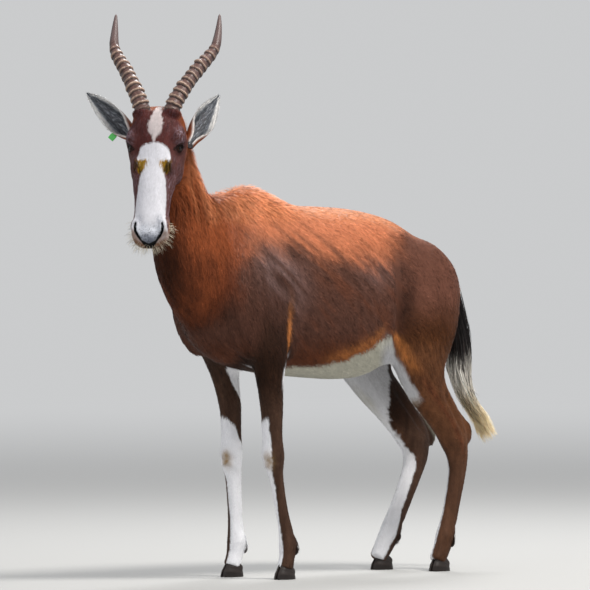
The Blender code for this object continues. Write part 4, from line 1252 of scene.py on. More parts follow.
def body_colours(points, normals, places):
    """The coat of the trunk, neck and legs."""
    x, y, z = points.T
    which, angle, _ = places
    leg = leg_share(points, places)
    grain, fine = streaks(points, 3), noise(points / 0.007, 5)
    level = z + 0.012 * grain + 0.003 * fine
    front = ramp(-y + 0.45 * (z - 0.82) + 0.012 * grain, 0.055, 0.125)
    colour = trunk_colours(points, normals, level, grain, fine)
    colour = blend(colour, neck_colours(points, normals, level, grain), front)
    # The withers' orange, partly painted light: along the top, and on the neck's crest only where it faces
    # back.
    lit_crown = ramp(z, 0.885, 0.935) * (1 - ramp(y, 0.08, 0.20))
    lit_crown *= np.maximum(ramp(y, -0.15, -0.05), 0.80 * ramp(normals[:, 1], -0.2, 0.5))
    belly = table(y, BELLY_EDGE)
    under = 1 - past(z + 0.006 * grain + 0.003 * fine, belly + 0.001, 0.005)
    under *= 1 - thigh_brown(points, places, fine + grain) * (y > 0.36)
    under *= ramp(y + 0.010 * fine, 0.035, 0.060)
    colour = painted(
        colour,
        ("withers", lit_crown * (0.75 + 0.25 * grain)),
        ("elbow", side_bump(points, 0.050, 0.612, 0.0060, 0.045, 0.85)),
        # the white belly, in its shaded colour
        ("belly", under),
    )
    colour = blend(colour, limb_colours(points, places, grain, fine), leg)
    worn = (which == 0) * hump(angle, 14, 27) + (which == 1) * hump(angle, -14, 27)
    worn = worn * hump(z, 0.300, 0.019)
    # Painted shade: the duller belly colour laid over the inner thighs.
    shaded_inner_thigh = window(y, 0.40, 0.46, 0.62, 0.66) * (abs(x) < 0.085) * (1 - ramp(z, 0.60, 0.66))
    warm = hump(z - belly, 0.020, 0.018) * window(y, 0.17, 0.28, 0.36, 0.40)
    seam = hump(y - table(z, THIGH_EDGE), 0.020, 0.016) * window(z, 0.50, 0.54, 0.60, 0.63)
    edges = np.maximum(0.42 * warm * (1 - leg), 0.50 * seam * ramp(abs(x), 0.06, 0.09))
    colour = painted(
        colour,
        ("callus", 1.3 * worn * (0.8 + 0.4 * fine)),
        ("belly", shaded_inner_thigh * (1 - leg)),
        ("elbow", edges * (1 + 0.5 * fine) * (1 - under)),
    )
    dark_share = 1 - np.clip(colour.mean(axis=1) / 0.5, 0, 1)
    return colour * (1 + dark_share * (0.17 * grain + 0.07 * fine))[:, None]


def cheek_colours(points, alike, grain):
    """The forehead, cheeks and jaw, with painted sheen in pale flecks over the eyes and beside the blaze.
    """
    wide, along, out = alike.T
    jaw = 1 - ramp(out + 0.30 * (along - 0.10) + 0.006 * grain, -0.100, -0.070)
    nape = (1 - ramp(along, 0.000, 0.030)) * (1 - ramp(out, -0.045, -0.020))
    behind = (1 - ramp(out + 0.5 * along, -0.035, -0.005)) * (1 - ramp(along, 0.13, 0.20))
    flecks = ramp(noise(points / (0.0011, 0.0011, 0.0032), 14), 0.15, 0.70)
    # A painted sheen over each eye, broken into flecks.
    brow = bump(alike, (0.065, 0.067, -0.020), (0.0085, 0.014, 0.014), 0.95)
    shine = ramp(noise(points / 0.0023, 17), -0.10, 0.50)
    pale = ramp(along, 0.100, 0.150) * ramp(wide, 0.028, 0.036) * (1 - jaw)
    colour = painted(
        COLOURS["forehead"],
        ("cheek", ramp(wide + 0.35 * along, 0.070, 0.095)),
        ("jaw", np.maximum.reduce([jaw, nape, behind])),
        # painted sheen: over the eyes, on the forehead and beside the blaze
        ("brow", np.clip(brow * shine, 0, 0.85)),
        ("brow", 0.12 * flecks * (1 - ramp(along, 0.06, 0.10)) * ramp(out, -0.05, -0.02)),
        ("brow", (0.30 + 0.25 * ramp(along, 0.15, 0.20)) * flecks * pale),
    )
    return colour * (1 + 0.16 * noise(points / (0.0030, 0.0030, 0.0090), 16))[:, None]


def with_blaze(colour, points, alike, middle, fine, grain):
    """The white of the face: a diamond between the horns and the blaze below it."""
    _, along, out = alike.T
    ragged = 0.0016 * fine + 0.0010 * grain
    white = 1 - past(middle + ragged, table(along, BLAZE), 0.0012)
    white *= ramp(along + 2 * ragged, 0.0925, 0.0950)
    gem = 1 - past(middle + 2.2 * ragged, table(along, DIAMOND), 0.002)
    gem *= (1 - ramp(along, 0.094, 0.098)) * ramp(out, -0.055, -0.030)
    colour = painted(colour, ("diamond", gem * (0.92 + 0.08 * grain)))
    colour = blend(colour, COLOURS["blaze"] * 0.97, white * ramp(out, -0.060, -0.045))
    return colour * (1 + 0.07 * white * (noise(points / (0.0018, 0.0018, 0.010), 13) + fine))[:, None]


def with_stain(colour, points, alike, middle, fine):
    """The yellow stain that runs down from each gland, with rust at its outer edge."""
    wide, along, out = alike.T
    drip = noise(points / (0.0017, 0.0017, 0.0120), 15)
    low = np.clip((along - 0.1385) / 0.0420, 0.0, 1.0)
    stain = 1 - abs(middle - 0.0285 - 0.0035 * low) / (0.0190 - 0.0145 * low) + 0.50 * drip + 0.10 * fine
    stain *= ramp(out, -0.045, -0.030)
    stain *= ramp(along + 0.003 * drip, 0.1370, 0.1400) * (1 - ramp(along + 0.006 * drip, 0.165, 0.175))
    bright = 1 + 0.38 * noise(points / (0.0022, 0.0022, 0.0060), 18)
    colour = blend(colour, COLOURS["yellow"] * bright[:, None], 0.98 * ramp(stain, 0.10, 0.38))
    rust = ramp(stain, 0.25, 0.55) * ramp(wide + 0.6 * (along - 0.150) + 0.005 * drip, 0.0300, 0.0365)
    slit, _ = nearest_on(alike, GLAND)
    return painted(colour, ("amber", 0.88 * rust), ("amber", 0.9 * hump(slit, 0, 0.0046)))


def with_nose(colour, points, alike, inner, fine):
    """A grey pad between the nostrils, a black groove round it, and the dark line of the lips."""
    wide, along, out = alike.T
    gap, share = nostril_gap(alike)
    rise = out - mouth_level(wide, along)
    pad = ramp(inner - wide, -0.001, 0.002) * ramp(along + 0.006 * fine, 0.294, 0.320)
    pad *= ramp(rise, 0.008, 0.012)
    speckle = noise(points / 0.0014, 12)
    dots = ramp(speckle + 0.30 * ramp(along, 0.305, 0.340), 0.30, 0.62)
    # Greyer above each nostril.
    nostril_grey = bump(alike, (0.026, 0.294, -0.004), (0.008, 0.010, 0.014), 0.75)
    colour = painted(
        colour,
        ("nose_pale", pad * 0.9),
        ("nose", pad * ramp(along + 0.003 * fine, 0.318, 0.348)),
        ("nose", np.clip(nostril_grey * (0.7 + 0.7 * speckle), 0, 0.65)),
        ("nose_dark", 0.55 * pad * dots),
    )
    low = ramp(along, 0.326, 0.342) * ramp(-out, 0.024, 0.034)
    colour = blend(colour, COLOURS["lip"] * 0.75, low * (1 - pad))
    width = np.interp(share, (0.0, 0.15, 0.4, 0.7, 1.0), (0.0026, 0.0034, 0.0034, 0.0040, 0.0062))
    return painted(
        colour,
        ("chin", 0.8 * ramp(-rise, 0.002, 0.008) * ramp(along, 0.262, 0.290)),
        ("nose_dark", 1 - ramp(gap, width * 0.8, width * 1.25)),
        ("nose_dark", (1 - ramp(abs(rise), 0.0014, 0.0028)) * ramp(along, 0.262, 0.272)),
    )


def head_colours(points):
    """The coat of the head: blaze, dark cheeks, orange jaw, grey nose and black nostrils."""
    across, along, out = in_head(points).T
    wide = abs(across)
    alike = columns(wide, along, out)
    # The white of the face lies a little to the left of the middle.
    middle = abs(across - 0.0030 * (1 - ramp(along, 0.12, 0.26)))
    fine, grain = noise(points / 0.0045, 8), noise(points / (0.010, 0.010, 0.035), 9)
    colour = cheek_colours(points, alike, grain)
    colour = with_blaze(colour, points, alike, middle, fine, grain)
    inner = table(along, [(row[1], row[0]) for row in NOSTRIL])
    muzzle = ramp(along, 0.275, 0.300) * ramp(wide, 0.035, 0.042) * (1 - ramp(out, -0.030, -0.012))
    outside = ramp(wide - inner, 0.001, 0.006) * ramp(along + 0.003 * fine, 0.311, 0.326)
    colour = painted(colour, ("lip", np.maximum(muzzle, outside) * (0.76 + 0.20 * grain)))
    colour = with_stain(colour, points, alike, middle, fine)
    colour = with_nose(colour, points, alike, inner, fine)
    for side in (1, -1):
        local = in_eye(points, side)
        ring = 1 - ramp(abs(local[:, 1]) - lid_edge(local[:, 0] * 0.82) - 0.0006, 0.0008, 0.0036)
        ring *= (abs(local[:, 0]) < 0.0200) & (local[:, 2] > 0)
        colour = painted(colour, ("eye_rim", ring * 0.92))
    return colour


def markings(points, normals):
    """The colour of the coat at each point of the skin."""
    head = head_share(points + 0.004 * noise(points / 0.02, 11)[:, None])
    return blend(body_colours(points, normals, leg_places(points)), head_colours(points), head)


# The lie of the coat


def on_skin(ways, normals):
    """The part of each way that runs along the skin."""
    return ways - normals * np.sum(ways * normals, axis=1, keepdims=True)


def lie_of(points, normals, rng):
    """The way the hair lies on the skin, as unit vectors along it."""
    x, y, z = points.T
    down = np.interp(y, (-0.20, -0.05, 0.10, 0.30, 0.50, 0.66), (2.6, 1.7, 1.0, 0.8, 1.0, 2.0))
    down = down * (1 - ramp(normals[:, 2], 0.55, 0.95) * 0.9)
    backward = unit(columns(0.10 * np.sign(x), 1.0, -down))
    hanging = unit(columns(0.05 * np.sign(x), 0.22, -1.0))
    way = blend(backward, hanging, ramp(-y + 0.45 * (z - 0.82), 0.035, 0.125))
    places = leg_places(points)
    slope = np.zeros((len(points), 3))
    for k, (_, rows) in enumerate(legs()):
        (ahead_x, ahead_y), (here_x, here_y) = (at_height(rows, level, 0, 1) for level in (z - 0.01, z))
        along = columns(ahead_x - here_x, ahead_y - here_y + 0.0012, -0.01)
        slope = np.where((places[0] == k)[:, None], along, slope)
    way = blend(way, unit(slope), leg_share(points, places))
    left, down_face, face = (np.array(axis) for axis in head_axes())
    across, along, out = in_head(points).T
    cheek = ramp(-out, 0.02, 0.07)[:, None]
    up_face = -down_face * (1 - 0.25 * cheek) - face * 0.75 * cheek
    up_face = up_face + left * (np.sign(across) * ramp(abs(across), 0.0, 0.03) * 0.22)[:, None]
    lips = ramp(along, 0.315, 0.345)[:, None]
    up_face = up_face * (1 - lips) + lips * (-face * 0.6 + left * np.sign(across)[:, None] * 0.7)
    way = unit(on_skin(blend(way, unit(up_face), head_share(points)), normals))
    turn = 0.20 * noise(points / 0.035, 21) + rng.normal(0, 0.085, len(points))
    return way * np.cos(turn)[:, None] + np.cross(normals, way) * np.sin(turn)[:, None]


def fetlock_brush(points, places):
    """1 in the brush of longer hair behind each fetlock, round the dew claws."""
    return hump(points[:, 2], 0.086, 0.015) * ramp(abs(places[1]), 110, 150)


def coronet(points, places):
    """The height of the hoof's upper edge under each point, lower towards the heel."""
    feet = np.array([rows[1][1] - FOOT_AHEAD for _, rows in legs()])
    back = points[:, 1] - feet[places[0]]
    return CORONET_HEIGHT - np.where(back < 0, CORONET_SLOPE, HEEL_SLOPE) * back


def coat_length(points, places):
    """How long the hair is: longest on the withers and neck, shortest on face and feet."""
    y, z = points[:, 1], points[:, 2]
    length = 0.0150 + 0.0105 * ramp(z, 0.90, 0.96) * (1 - ramp(y, 0.09, 0.18))
    length += 0.0030 * ramp(-y, 0.06, 0.12) * ramp(z, 0.66, 0.76)
    length -= 0.0025 * ramp(y, 0.45, 0.55)
    leg = leg_share(points, places)
    length += (0.0066 + 0.0060 * ramp(z, 0.34, 0.56) - length) * leg
    length += 0.0120 * fetlock_brush(points, places) * leg
    _, along, out = in_head(points).T
    face = 0.0058 + 0.0025 * (1 - ramp(along, 0.03, 0.10)) + 0.0022 * ramp(-out, 0.05, 0.09)
    face -= 0.0020 * ramp(along, 0.24, 0.30)
    return length + (face - length) * head_share(points)


# Tiles of the unwrap: the trunk, the head, the neck and the four legs.
TILES = np.array(
    (
        (0.00, 0.0, 0.50, 0.5),
        (0.50, 0.0, 1.00, 0.5),
        (0.00, 0.5, 0.40, 1.0),
        (0.40, 0.5, 0.55, 1.0),
        (0.55, 0.5, 0.70, 1.0),
        (0.70, 0.5, 0.85, 1.0),
        (0.85, 0.5, 1.00, 1.0),
    )
)
TILE_EDGE = 0.006
TUFT_PATCH = 0.0015


def regions(points):
    """Which tile of the unwrap each point belongs to."""
    places = leg_places(points)
    front = -points[:, 1] + 0.45 * (points[:, 2] - 0.82) > 0.09
    region = np.where(front, 2, 0)
    region = np.where(leg_share(points, places) > 0.5, 3 + places[0], region)
    return np.where(head_share(points) > 0.5, 1, region)


def turns_and_levels(points, region):
    """The turn round the axis of the trunk, head, neck or leg, and the place along it, from 0 to 1."""
    x, y, z = points.T
    across, along, out = in_head(points).T
    neck = np.array(sorted((row[:3] for row in NECK), key=lambda row: row[2]))
    neck_x, neck_y = at_height(neck, z, 0, 1)
    _, angle, _ = leg_places(points)
    turns = (
        np.arctan2(x, z - 0.72),
        np.arctan2(across, out + 0.055),
        np.arctan2(x - neck_x, y - neck_y),
        np.radians(angle),
    )
    levels = ((y + 0.30) / 1.10, (along + 0.06) / 0.44, (z - 0.50) / 0.75, z / 0.66)
    kind = np.minimum(region, 3)
    turn = np.choose(kind, turns) / (2 * math.pi) + 0.5
    return turn, np.clip(np.choose(kind, levels), 0.0, 1.0)


def in_tile(turn, level, region):
    """Places on each region's tile of the unwrap."""
    low_u, low_v, high_u, high_v = TILES[region].T
    turn = np.clip(turn, 0.0, 1.0)
    u = low_u + TILE_EDGE + (high_u - low_u - 2 * TILE_EDGE) * turn
    return np.stack((u, low_v + TILE_EDGE + (high_v - low_v - 2 * TILE_EDGE) * level), axis=1)


def root_spots(points):
    """The place of each root on the unwrap of the skin."""
    region = regions(points)
    return in_tile(*turns_and_levels(points, region), region)


def set_spots(mesh, rows):
    """Stores the unwrap: a place for each corner of the mesh."""
    layer = mesh.uv_layers.new(name="OFBake")
    layer.data.foreach_set("uv", rows.astype(np.float32).ravel())


def unwrap_skin(mesh):
    """Lays each face on its region's tile, never across the seam."""
    points = points_of(mesh)
    corners, _, face = corners_of(mesh)
    sizes = np.bincount(face)
    middle = columns(*(np.bincount(face, points[corners, c]) / sizes for c in range(3)))
    region = regions(middle)
    centre, _ = turns_and_levels(middle, region)
    turn, level = turns_and_levels(points[corners], region[face])
    turn = turn - np.round(turn - centre[face])
    set_spots(mesh, in_tile(turn, level, region[face]))


def unwrap_rings(mesh, count):
    """Lays a loft's rings out side by side: round each ring, and along the rings."""
    corners, starts, face = corners_of(mesh)
    step, ring = corners % count, corners // count
    first = np.minimum.reduceat(step, starts)[face]
    last = np.maximum.reduceat(step, starts)[face]
    step = np.where((last - first > count / 2) & (step == 0), count, step)
    set_spots(mesh, columns(0.02 + 0.96 * step / count, 0.02 + 0.96 * ring / max(1, ring.max())))


def unwrap_flat(mesh):
    """A plain unwrap by the mesh's own two longest axes, one half beside the other, for small pieces."""
    points = points_of(mesh)
    corners, _, _ = corners_of(mesh)
    middle = points.mean(axis=0)
    _, axes = np.linalg.eigh(np.cov((points - middle).T))
    flat = (points - middle) @ axes
    size = np.ptp(flat, axis=0) + 1e-9
    shares = (flat - flat.min(axis=0)) / size
    half = np.where(shares[:, 0] > 0.5, 0.5, 0.0)
    set_spots(mesh, columns(0.01 + half + 0.48 * shares[:, 2], 0.01 + 0.98 * shares[:, 1])[corners])


def finished(obj, colours, sides=0):
    """The object with its colours, smooth shading, and an unwrap by rings of this many sides, or flat."""
    set_colours(obj.data, colours)
    if sides:
        unwrap_rings(obj.data, sides)
    else:
        unwrap_flat(obj.data)
    obj.data.shade_smooth()
    return obj


# Hair


def scattered(mesh, density, count, rng):
    """Random places on a mesh, as points and normals; density weighs them by place."""
    mesh.calc_loop_triangles()
    corners = read(mesh.loop_triangles, "vertices", 3, np.int32)
    points, normals = points_of(mesh)[corners], normals_of(mesh)[corners]
    areas = np.linalg.norm(np.cross(points[:, 1] - points[:, 0], points[:, 2] - points[:, 0]), axis=1)
    weights = areas * density(points.mean(axis=1))
    chosen = rng.choice(len(corners), count, p=weights / weights.sum())
    a, b = np.sqrt(rng.random(count)), rng.random(count)
    shares = columns(1 - a, a * (1 - b), a * b)[:, :, None]
    return (points[chosen] * shares).sum(axis=1), unit((normals[chosen] * shares).sum(axis=1))


def hair_mesh(name, lines, across, normals, widths, colours, spots):
    """Flat tapered hairs as one mesh.

    lines and colours: hairs x levels x 3, from root to tip.
    across, normals, widths and spots: one for each hair.
    """
    count, levels, _ = lines.shape
    rows = 2 * levels - 1
    share = np.linspace(0.0, 1.0, levels)[:-1]
    half = widths[:, None] * 0.5 * (0.70 + 1.1 * share - 1.2 * share**2)
    offset = across[:, None, :] * half[:, :, None]
    points, tint = np.empty((2, count, rows, 3))
    points[:, 0:-1:2], points[:, 1:-1:2] = lines[:, :-1] + offset, lines[:, :-1] - offset
    points[:, -1] = lines[:, -1]
    tint[:, 0:-1:2] = tint[:, 1:-1:2] = colours[:, :-1]
    tint[:, -1] = colours[:, -1]
    patch = np.zeros((rows, 2))
    patch[:-1:2, 0], patch[1:-1:2, 0] = -1.0, 1.0
    patch[:-1, 1] = np.repeat(np.linspace(-1.0, 1.0, levels)[:-1], 2)
    patch[-1, 1] = 1.0
    patch = spots[:, None] + TUFT_PATCH * patch
    pattern = [2 * k + step for k in range(levels - 2) for step in (0, 1, 3, 2)]
    pattern += [rows - 3, rows - 2, rows - 1]
    corners = (np.arange(count)[:, None] * rows + np.array(pattern)).ravel()
    starts = (np.arange(count)[:, None] * len(pattern) + np.arange(levels - 1) * 4).ravel()
    mesh = bpy.data.meshes.new(name)
    mesh.vertices.add(count * rows)
    mesh.loops.add(len(corners))
    mesh.polygons.add(len(starts))
    mesh.vertices.foreach_set("co", points.astype(np.float32).ravel())
    mesh.loops.foreach_set("vertex_index", corners.astype(np.int32))
    mesh.polygons.foreach_set("loop_start", starts.astype(np.int32))
    mesh.update(calc_edges=True)
    mesh.shade_smooth()
    set_colours(mesh, tint.reshape(-1, 3))
    set_spots(mesh, patch.reshape(-1, 2)[corners])
    mesh.normals_split_custom_set_from_vertices(np.repeat(normals, rows, axis=0).astype(np.float32))
    return new_object(name, mesh)


def gathered(points, size, seed):
    """For each point the way to the middle of its tuft, on a lattice that noise bends."""
    bent = points + size * 0.6 * columns(*(noise(points / (1.7 * size), seed + k) for k in range(3)))
    cells = np.floor(bent / size)
    return (cells + 0.5) * size - bent


def combed(points, ways, size, reach, seed):
    """Noise drawn out along the hair, from about -1 to 1."""
    steps = np.linspace(-reach, reach, 6)
    return sum(noise((points + ways * step) / size, seed) for step in steps) / math.sqrt(len(steps)) * 1.3


# Levels in a hair, size of a tuft, and how deep and how dark the roots are.
COAT_LEVELS = 3
TUFT_SIZE = 0.012
ROOT_DEPTH = 0.0008
ROOT_SHADE = 0.30


def coat(name, roots, normals, ways, lengths, widths, colours, rng, lift=0.20, gather=0.25):
    """Short hair that lies along its ways and rises a little from the skin."""
    count = len(roots)
    lengths = lengths * rng.uniform(0.75, 1.15, count)
    lift = lift * rng.uniform(0.5, 1.5, count)
    share = np.linspace(0.0, 1.0, COAT_LEVELS)
    side = np.cross(normals, ways)
    pull = on_skin(gathered(roots, TUFT_SIZE, 31), normals)
    bend = rng.normal(0, 0.10, count)
    rise = lift[:, None] * (1.75 * share - 0.85 * share**2)
    lines = (roots - normals * ROOT_DEPTH)[:, None] + ways[:, None] * (lengths[:, None] * share)[:, :, None]
    lines += normals[:, None] * (lengths[:, None] * rise)[:, :, None]
    lines += side[:, None] * (lengths[:, None] * bend[:, None] * share**2)[:, :, None]
    lines += pull[:, None] * np.broadcast_to(gather, count)[:, None, None] * (share**1.3)[None, :, None]
    roll = rng.normal(0, 0.30, count)[:, None]
    across = side * np.cos(roll) + normals * np.sin(roll)
    paleness = np.clip(colours.mean(axis=1) / 0.6, 0, 1)
    jitter = rng.normal(0, 1, count) * (0.19 - 0.12 * paleness)
    locks = 0.32 * combed(roots, ways, 0.0042, 0.013, 41) + 0.12 * noise(roots / 0.012, 43)
    jitter += locks * (1 - 0.75 * paleness)
    base = colours * np.clip(1 + jitter, 0.3, 2.0)[:, None]
    depth = ROOT_SHADE * (1 - 0.7 * paleness)
    shade = 1 - depth[:, None] * (1 - share) + (depth * 0.5)[:, None] * share
    tint = base[:, None] * shade[:, :, None]
    facing = unit(normals + side * rng.normal(0, 0.22, count)[:, None] - ways * 0.12)
    return hair_mesh(name, lines, across, facing, widths, tint, root_spots(roots))


def bare(points):
    """Where no hair grows: in the eyes, nostrils and glands, and on the lips' edge."""
    across, along, out = in_head(points).T
    wide = abs(across)
    alike = columns(wide, along, out)
    gap, share = nostril_gap(alike)
    none = gap < np.interp(share, (0.0, 0.2, 0.7, 1.0), (0.0016, 0.0026, 0.0036, 0.0060))
    none |= (abs(out - mouth_level(wide, along)) < 0.0022) & (along > 0.266)
    none |= nearest_on(alike, GLAND)[0] < 0.0024
    for side in (1, -1):
        local = in_eye(points, side)
        near = (np.hypot(local[:, 0] / 1.14, local[:, 1]) < 0.030) & (local[:, 2] > -0.004)
        near &= abs(local[:, 0]) < 0.0175
        none |= near & (abs(local[:, 1]) < lid_edge(local[:, 0] * 0.86) + 0.0012)
    return none & (head_share(points) > 0.5)


def coat_density(points):
    """How thickly hair grows: finer and closer on the legs and head."""
    places = leg_places(points)
    leg = leg_share(points, places)
    thick = 1.0 + leg * (0.9 + 1.6 * fetlock_brush(points, places))
    return thick * (1 - head_share(points)) * (points[:, 2] > coronet(points, places) - 0.009)


def face_density(points):
    """Hair on the head: finest at the nose, and thin on the nose's bare pad."""
    across, along, out = in_head(points).T
    pad = ramp(along, 0.300, 0.315) * ramp(0.036 - abs(across), 0.0, 0.004) * ramp(out, -0.040, -0.030)
    near = head_share(points)
    return near * (0.85 + 0.6 * ramp(along, 0.02, 0.10) + 0.5 * ramp(along, 0.22, 0.30)) * (1 - 0.75 * pad)


def split(count, most):
    """Cuts a count into runs no longer than most."""
    edges = np.linspace(0, count, math.ceil(count / most) + 1).astype(int)
    return list(zip(edges[:-1], edges[1:]))


# The short coat: name, density and number of hairs for the body and the head.
COATS = (("coat_body", coat_density, 258000), ("coat_head", face_density, 150000))
HAIRS_IN_A_PIECE = 60000


def make_coat(skin):
    """All the short hair that grows on the skin."""
    rng = np.random.default_rng(11)
    made = []
    for name, density, hairs in COATS:
        roots, normals = scattered(skin.data, density, hairs, rng)
        keep = ~bare(roots)
        roots, normals = roots[keep], normals[keep]
        places = leg_places(roots)
        ways = lie_of(roots, normals, rng)
        lengths = coat_length(roots, places)
        leg, head = leg_share(roots, places), head_share(roots)
        widths = 0.00121 - 0.00032 * leg - 0.00056 * head
        y, z = roots[:, 1], roots[:, 2]
        fluffy = ramp(z, 0.89, 0.95) * (1 - ramp(y, 0.09, 0.20)) * (1 - head)
        brush = fetlock_brush(roots, places) * leg
        lift = 0.10 + 0.22 * fluffy + 0.11 * leg + 0.08 * head + 0.22 * brush
        gather = 0.22 + 0.35 * fluffy - 0.10 * leg - 0.12 * head
        colours = markings(roots, normals)
        for k, (start, stop) in enumerate(split(len(roots), HAIRS_IN_A_PIECE)):
            part = slice(start, stop)
            made.append(coat(f"{name}_{k + 1}", roots[part], normals[part], ways[part], lengths[part],
                             widths[part], colours[part], rng, lift[part], gather=gather[part]))
    return made


# Horns, ears, eyes, hooves, tail and tag


def along_path(path, share):
    """The point and heading at a share of a path's length."""
    path = np.array(path, float)
    lengths = np.r_[0.0, np.cumsum(np.linalg.norm(np.diff(path, axis=0), axis=1))]
    goal = np.clip(share, 0.0, 1.0) * lengths[-1]
    k = min(int(np.searchsorted(lengths, goal, side="right")) - 1, len(path) - 2)
    way = path[k + 1] - path[k]
    return path[k] + way * (goal - lengths[k]) / (lengths[k + 1] - lengths[k]), way / np.linalg.norm(way)


# Sections along a horn, and points round each.
HORN_STEPS = 330
HORN_SIDES = 56
# Where the lowest ring begins, and the horn's colours; the dark one is also laid as painted shade on the
# back and sides and under each ring.
FIRST_RING = 0.085
HORN_CREST, HORN_VALLEY = srgb(196, 168, 148), srgb(92, 68, 63)
HORN_DARK, HORN_TIP = srgb(46, 36, 37), srgb(98, 84, 84)


def horn_surface(share, radius, sine, cosine):
    """The relief and the colours round one section of the horn."""
    rough = noise(columns(sine * 2.2, cosine * 2.2, share * 30.0) * 1.3, 51)
    lines = noise(columns(sine * 11, cosine * 11, share * 5), 53)
    fine = noise(columns(sine * 6, cosine * 6, share * 140), 54)
    up = np.clip((share + 0.0045 * rough - FIRST_RING) / (HORN_RINGED_SHARE - FIRST_RING), 0, 1)
    number = HORN_RINGS * up ** (1 / 1.18)
    phase = number % 1.0
    ringed = ramp(share, FIRST_RING - 0.01, FIRST_RING + 0.02) * (1 - ramp(share, 0.70, 0.76))
    uneven = noise(columns(np.floor(number) * 1.7 + 0.5, cosine * 0.9, sine * 0.9), 55)
    ledge = window(phase, 0.04, 0.20, 0.24, 0.95) * ringed
    ledge *= (1 - 0.30 * number / HORN_RINGS) * (0.86 + 0.24 * rough + 0.55 * uneven)
    relief = (ledge * 0.0058 - 0.0016 * ringed) * (0.64 + 0.36 * cosine)
    relief += (0.00028 * lines + 0.00022 * fine) * min(1.0, radius / 0.008)
    shaded = np.clip(0.75 * ramp(-cosine, -0.1, 0.7) + 0.60 * ramp(abs(sine), 0.55, 1.0), 0, 1)
    # Painted shadow right below each ring's ledge.
    under = np.clip(1 - ramp(phase, 0.02, 0.10) + ramp(phase, 0.86, 0.98), 0, 1) * ringed
    lit = window(phase, 0.08, 0.17, 0.24, 0.38) * (1 - 0.045 * number) * ringed
    lit *= ramp(cosine, -0.45, 0.35) * np.clip(0.80 + 0.35 * uneven + 0.35 * fine, 0.2, 1)
    colour = blend(HORN_VALLEY, HORN_DARK, shaded)
    colour = blend(colour, HORN_DARK * 0.45, 0.8 * under)
    colour = blend(colour, HORN_CREST, np.clip(lit, 0, 1))
    colour = blend(colour, HORN_TIP, ramp(share, 0.70, 0.80) * 0.85 * (0.75 + 0.25 * lines))
    colour = blend(colour, HORN_DARK, np.full(len(sine), 0.5 * (1 - ramp(share, 0.06, 0.12))))
    return relief, colour * (1 + 0.30 * lines + 0.08 * fine)[:, None]


def make_horn(side, name):
    """A horn with a ledge for each ring, strongest in front, and fine lines along it."""
    path = smooth_curve(HORN, 12)
    sine, cosine = np.array(list(around(HORN_SIDES))).T
    left, _, face = head_axes()
    rings, tints = [], []
    for step in range(HORN_STEPS + 1):
        share = (step / HORN_STEPS) ** 0.97
        centre, way = along_path(path, share)
        place = poll_point(centre[0] * side, centre[1], centre[2])
        heading = poll_point(way[0] * side, way[1], way[2]) - POLL
        wide = (left - heading * left.dot(heading)).normalized()
        front = wide.cross(heading)
        if front.dot(face) < 0:
            front.negate()
        radius = HORN_BASE_RADIUS * (1 - min(share, 0.995) ** 2.2) ** 0.75
        radius += 0.0020 * (1 - ramp(share, 0.985, 1.0))
        relief, colours = horn_surface(share, radius, sine, cosine)
        reach = radius + relief
        rings.append([place + wide * float(r * s * 0.94) + front * float(r * c)
                      for r, s, c in zip(reach, sine, cosine)])
        tints.append(colours)
    return finished(loft(name, rings), np.concatenate(tints), HORN_SIDES)


# Sections along the ear, points across it, hairs on it, and the seeds of those.
EAR_STEPS = 44
EAR_ARC = 26
EAR_HAIRS = 15000
EAR_SEEDS = {"left": 58, "right": 59}


def ear_frame(side):
    """The ear's base, unit vectors along it, out of its opening and across it, and its length."""
    place = EARS[side]
    base, tip = poll_point(*place["base"]), poll_point(*place["tip"])
    opening = poll_point(*place["open"]) - POLL
    along = (tip - base).normalized()
    opening = (opening - along * opening.dot(along)).normalized()
    return base, along, opening, opening.cross(along).normalized(), (tip - base).length


def ear_back(side, share):
    """The middle of the ear's back at a share of its length."""
    base, along, opening, _, length = ear_frame(side)
    return base + along * length * share - opening * 0.010 * math.sin(math.pi * max(share, 0.0))


def ear_colours(share):
    """The colours round one section: brown outside, dark inside, and white at the rim."""
    t = np.abs(np.linspace(-1, 1, EAR_ARC + 1))
    white = srgb(236, 234, 232)
    grain = noise(columns(t * 9, share * 6, 0.0), 61)
    outside = blend(srgb(118, 92, 82), srgb(128, 70, 44), np.full(len(t), 1 - ramp(share, 0.05, 0.35)))
    outside = blend(outside, white, ramp(t, 0.86, 0.99))
    inside = blend(srgb(110, 108, 112), srgb(34, 31, 33), (1 - ramp(t, 0.55, 0.85)) * (0.65 + 0.35 * grain))
    inside = blend(inside, white, ramp(t, 0.64, 0.80))
    return np.concatenate((outside, inside[::-1]))


def ear_surface(side):
    """Sections of the ear: share of its length, middle of its back, half width and curl."""
    outline = np.array(smooth_curve(EAR_OUTLINE, 10))
    for k in range(EAR_STEPS + 1):
        share = -0.12 + 1.12 * (1 - (1 - k / EAR_STEPS) ** 1.25)
        wide, curl = (float(np.interp(share, outline[:, 0], outline[:, c])) for c in (1, 2))
        width = EAR_HALF_WIDTH * max(wide, EAR_OUTLINE[-1][1])
        yield share, ear_back(side, share), width, math.radians(curl)


